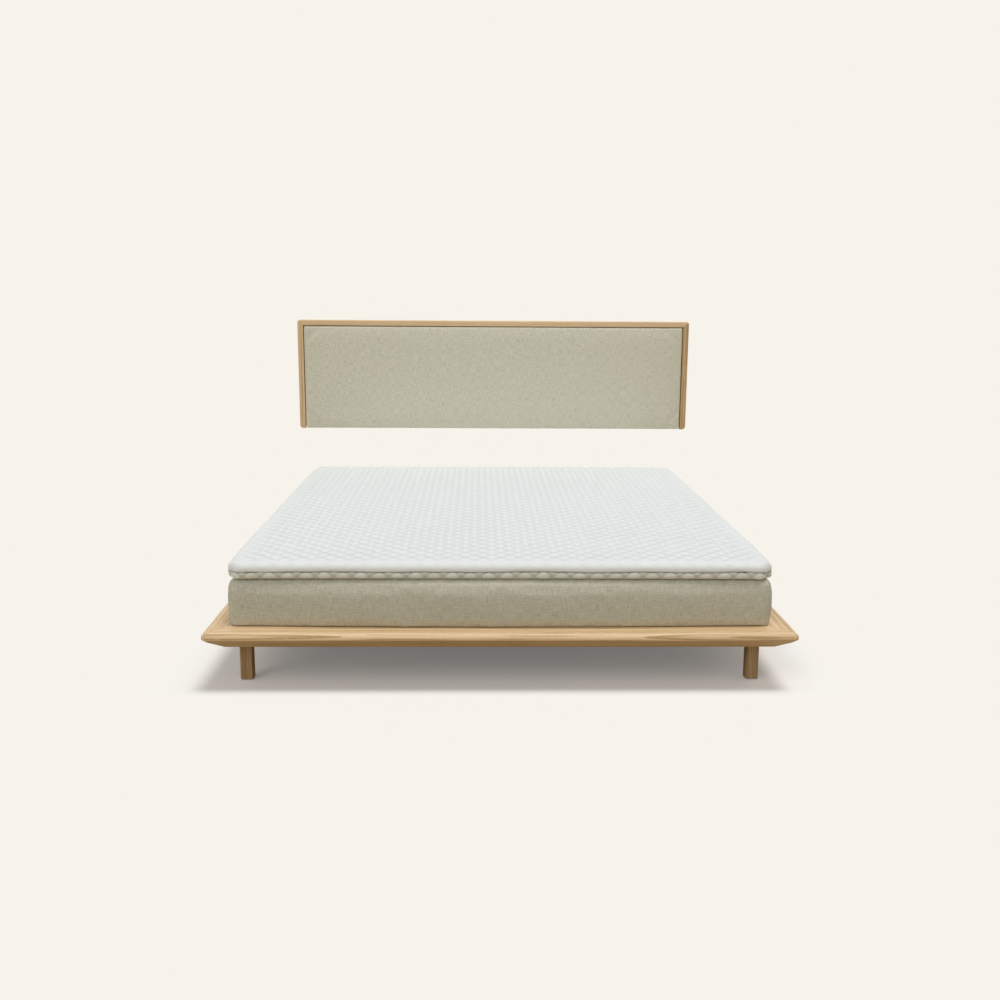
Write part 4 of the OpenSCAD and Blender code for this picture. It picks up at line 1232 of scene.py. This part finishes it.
class BED_OT_topper_zip(bpy.types.Operator):
    """Run the zip round the topper: two tapes in the groove and a row of teeth"""

    bl_idname = "bed.topper_zip"
    bl_label = "Topper zip"

    depth = 0.0014
    corner = 0.060
    step = 0.0075
    tape = np.array([(-0.0100, -0.0020), (-0.0014, -0.0020), (0.0, -0.0012), (0.0, 0.0012),
                     (-0.0014, 0.0020), (-0.0100, 0.0020)])
    pitch = 0.0030
    tooth = np.full(3, 0.0009)

    def execute(self, context):
        side, top = node_box("topper_zip")[:, 2]
        low, high = node_box("topper_base_cover")
        loop = Loop(*(high[:2] - self.depth), self.corner - self.depth, self.step)
        rest = context.scene.bed_quilt, low[2], side
        self.add_tape(loop, (side + top) / 2, rest)
        self.add_teeth(loop, (side + top) / 2, rest)
        return {"FINISHED"}

    def add_tape(self, loop, middle, rest):
        """A flat ring with a rounded outer edge, drooping with the topper's corners."""
        outs, levels = self.tape.T + [[0], [middle]]
        rows = carry(loop.points, loop.normals, outs, levels)
        quads, place = loop.skin(np.append(outs, outs[0]), np.append(levels, levels[0]))
        material = strap_material("zip_tape", shade(230, 231, 224), shade(200, 202, 194))
        points = settled(rows.reshape(-1, 3), *rest)
        piece = make_piece("zip_tape_ring", "topper", material, points,
                           [quads % len(points)], [cells(place, True)])
        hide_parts("topper_zip")

    def add_teeth(self, loop, middle, rest):
        """Small blocks at an even pitch, set square to the tape."""
        count = round(loop.total / self.pitch)
        at = np.arange(count) * loop.total / count
        run = np.append(loop.run, loop.total)
        x, y, nx, ny = [np.interp(at, run, np.append(a, a[0]))
                        for a in (*loop.points.T, *loop.normals.T)]
        centres = np.stack([x + 0.0002 * nx, y + 0.0002 * ny, np.full(count, middle)], -1)
        points, faces = box_blocks(settled(centres, *rest), self.tooth, np.arctan2(ny, nx))
        material = fuzzy_material("zip_teeth_nylon", shade(196, 198, 192),
                                  shade(166, 168, 162), 800.0, 0.45, 0.00002)
        make_piece("zip_teeth", "topper", material, points, [faces])


# Operators: the headboard


class BED_OT_headboard_wood(bpy.types.Operator):
    """Finish the headboard's oak strips, its plywood panels and the wall cleats"""

    bl_idname = "bed.headboard_wood"
    bl_label = "Headboard wood"

    def execute(self, context):
        oak, softwood = context.scene.bed_oak, context.scene.bed_softwood
        # The top and left strips are made lighter and the right one darker: painted light and
        # shade on one oak.
        for side, along, tone_and_shade in (("top", 0, 0.35), ("left", 2, 0.30), ("right", 2, -0.28)):
            dress(["headboard_strip_" + side],
                  oak_material("oak_strip_" + side, along, oak, tone_and_shade))
        for node, name, ply in (("headboard_back_panel", "birch_back", 0.0024),
                                ("headboard_pad_board", "birch_board", 0.0018)):
            dress([node], plywood_material(name, ply, node_box(node)[0, 1] - ply / 2))
        dress(["headboard_cleat", "headboard_spacer", "wall_cleat"],
              softwood_material("pine_cleats", 0, softwood, (1.2, 0.6)))
        return {"FINISHED"}


class BED_OT_headboard_pad(bpy.types.Operator):
    """Upholster the headboard: taut cloth over foam, rolled round all four edges"""

    bl_idname = "bed.headboard_pad"
    bl_label = "Headboard pad"

    def execute(self, context):
        self.add_cloth(context.scene.bed_cloth)
        self.add_foam()
        return {"FINISHED"}

    def stand(self, node):
        """A node's half size across and up, its depth, and what stands a flat form there."""
        low, high = node_box(node)
        across, depth, up = high - low
        middle = (high[2] + low[2]) / 2

        def upright(points):
            x, rise, out = points.T
            return np.stack([x, high[1] - out, middle + rise], -1)

        return np.array([across, up]) / 2, depth, upright

    def add_cloth(self, cloth):
        """The cloth falls 3 mm to its edges, rolls round them and is pulled in unevenly."""
        fall, roll, corner = 0.0030, 0.0095, 0.011
        half, depth, upright = self.stand("headboard_pad_cover")
        panel = Panel(*(half - roll), corner - roll, roll, roll, 4)
        inside = panel.inside(roll)
        heights = depth - fall * (1 - smooth(inside, 0, 0.075))
        wave = cloth.slack * 0.35 * ripple(panel.x, panel.y, 0.26, 41)
        heights = np.minimum(heights + wave * smooth(inside, 0.01, 0.1), depth)
        profile = arc((0, depth - fall - roll), roll, 80, 0, 5)
        profile += [(roll, 0.010), (roll, 0.002), (roll - 0.002, 0.0)]

        def shape(points, band, normals, run):
            pull = 0.0004 * ripple(run, 0 * run, 0.11, 43) - 0.0005
            points[band, :2] += normals * pull[:, None]
            return upright(points)

        # The headboard's copy of the cloth is lighter than the mattress's, level 1.38 against
        # 1.07: painted light.
        piece = panel.shell("headboard_upholstery", "headboard",
                            woven_cloth_material("headboard_cloth", cloth, 1.38), heights,
                            profile, shape)
        held = np.arange(len(piece.data.vertices)) >= panel.x.size
        swell(piece, held, pressure=0.8, cap=0.003, spare=0.006)
        stand_for(piece, "headboard_pad_cover")

    def add_foam(self):
        """The foam block under the cloth, its front edge rounded."""
        roll, corner = 0.004, 0.006
        half, depth, upright = self.stand("headboard_pad_foam")
        panel = Panel(*(half - roll), corner, 0.05)
        profile = arc((0, depth - roll), roll, 90, 0, 3)[1:] + [(roll, 0.0)]
        piece = panel.shell(
            "headboard_foam", "headboard", bpy.data.materials["cream_foam"],
            np.full(panel.x.shape, depth), profile, lambda points, *rest: upright(points))
        stand_for(piece, "headboard_pad_foam")


class BED_PT_panel(bpy.types.Panel):
    """Lists the bed's pieces in the order in which they are made"""

    bl_idname = "BED_PT_panel"
    bl_label = "Oak platform bed"
    bl_space_type = "VIEW_3D"
    bl_region_type = "UI"
    bl_category = "Bed"

    def draw(self, context):
        for settings in PROPERTY_GROUPS.values():
            self.layout.label(text=settings.__doc__)
        for operator in OPERATORS:
            self.layout.operator(operator.bl_idname)


PROPERTY_GROUPS = {
    "bed_oak": BedOak, "bed_softwood": BedSoftwood, "bed_cloth": BedCloth,
    "bed_quilt": BedQuilt, "bed_studio": BedStudio,
}
OPERATORS = (
    BED_OT_stage, BED_OT_platform_wood, BED_OT_slat_deck, BED_OT_fittings, BED_OT_webbing,
    BED_OT_mattress, BED_OT_mattress_inside, BED_OT_topper, BED_OT_topper_zip,
    BED_OT_headboard_wood, BED_OT_headboard_pad,
)


def register():
    for name, group in PROPERTY_GROUPS.items():
        bpy.utils.register_class(group)
        setattr(bpy.types.Scene, name, bpy.props.PointerProperty(type=group))
    for kind in (*OPERATORS, BED_PT_panel):
        bpy.utils.register_class(kind)


def unregister():
    for kind in reversed((*OPERATORS, BED_PT_panel)):
        bpy.utils.unregister_class(kind)
    for name, group in PROPERTY_GROUPS.items():
        delattr(bpy.types.Scene, name)
        bpy.utils.unregister_class(group)


def main():
    """Makes the whole bed."""
    register()
    bpy.ops.bed.stage()
    bpy.ops.bed.platform_wood()
    bpy.ops.bed.slat_deck()
    bpy.ops.bed.fittings()
    bpy.ops.bed.webbing()
    bpy.ops.bed.mattress()
    bpy.ops.bed.mattress_inside()
    bpy.ops.bed.topper()
    bpy.ops.bed.topper_zip()
    bpy.ops.bed.headboard_wood()
    bpy.ops.bed.headboard_pad()


if __name__ == "__main__":
    main()
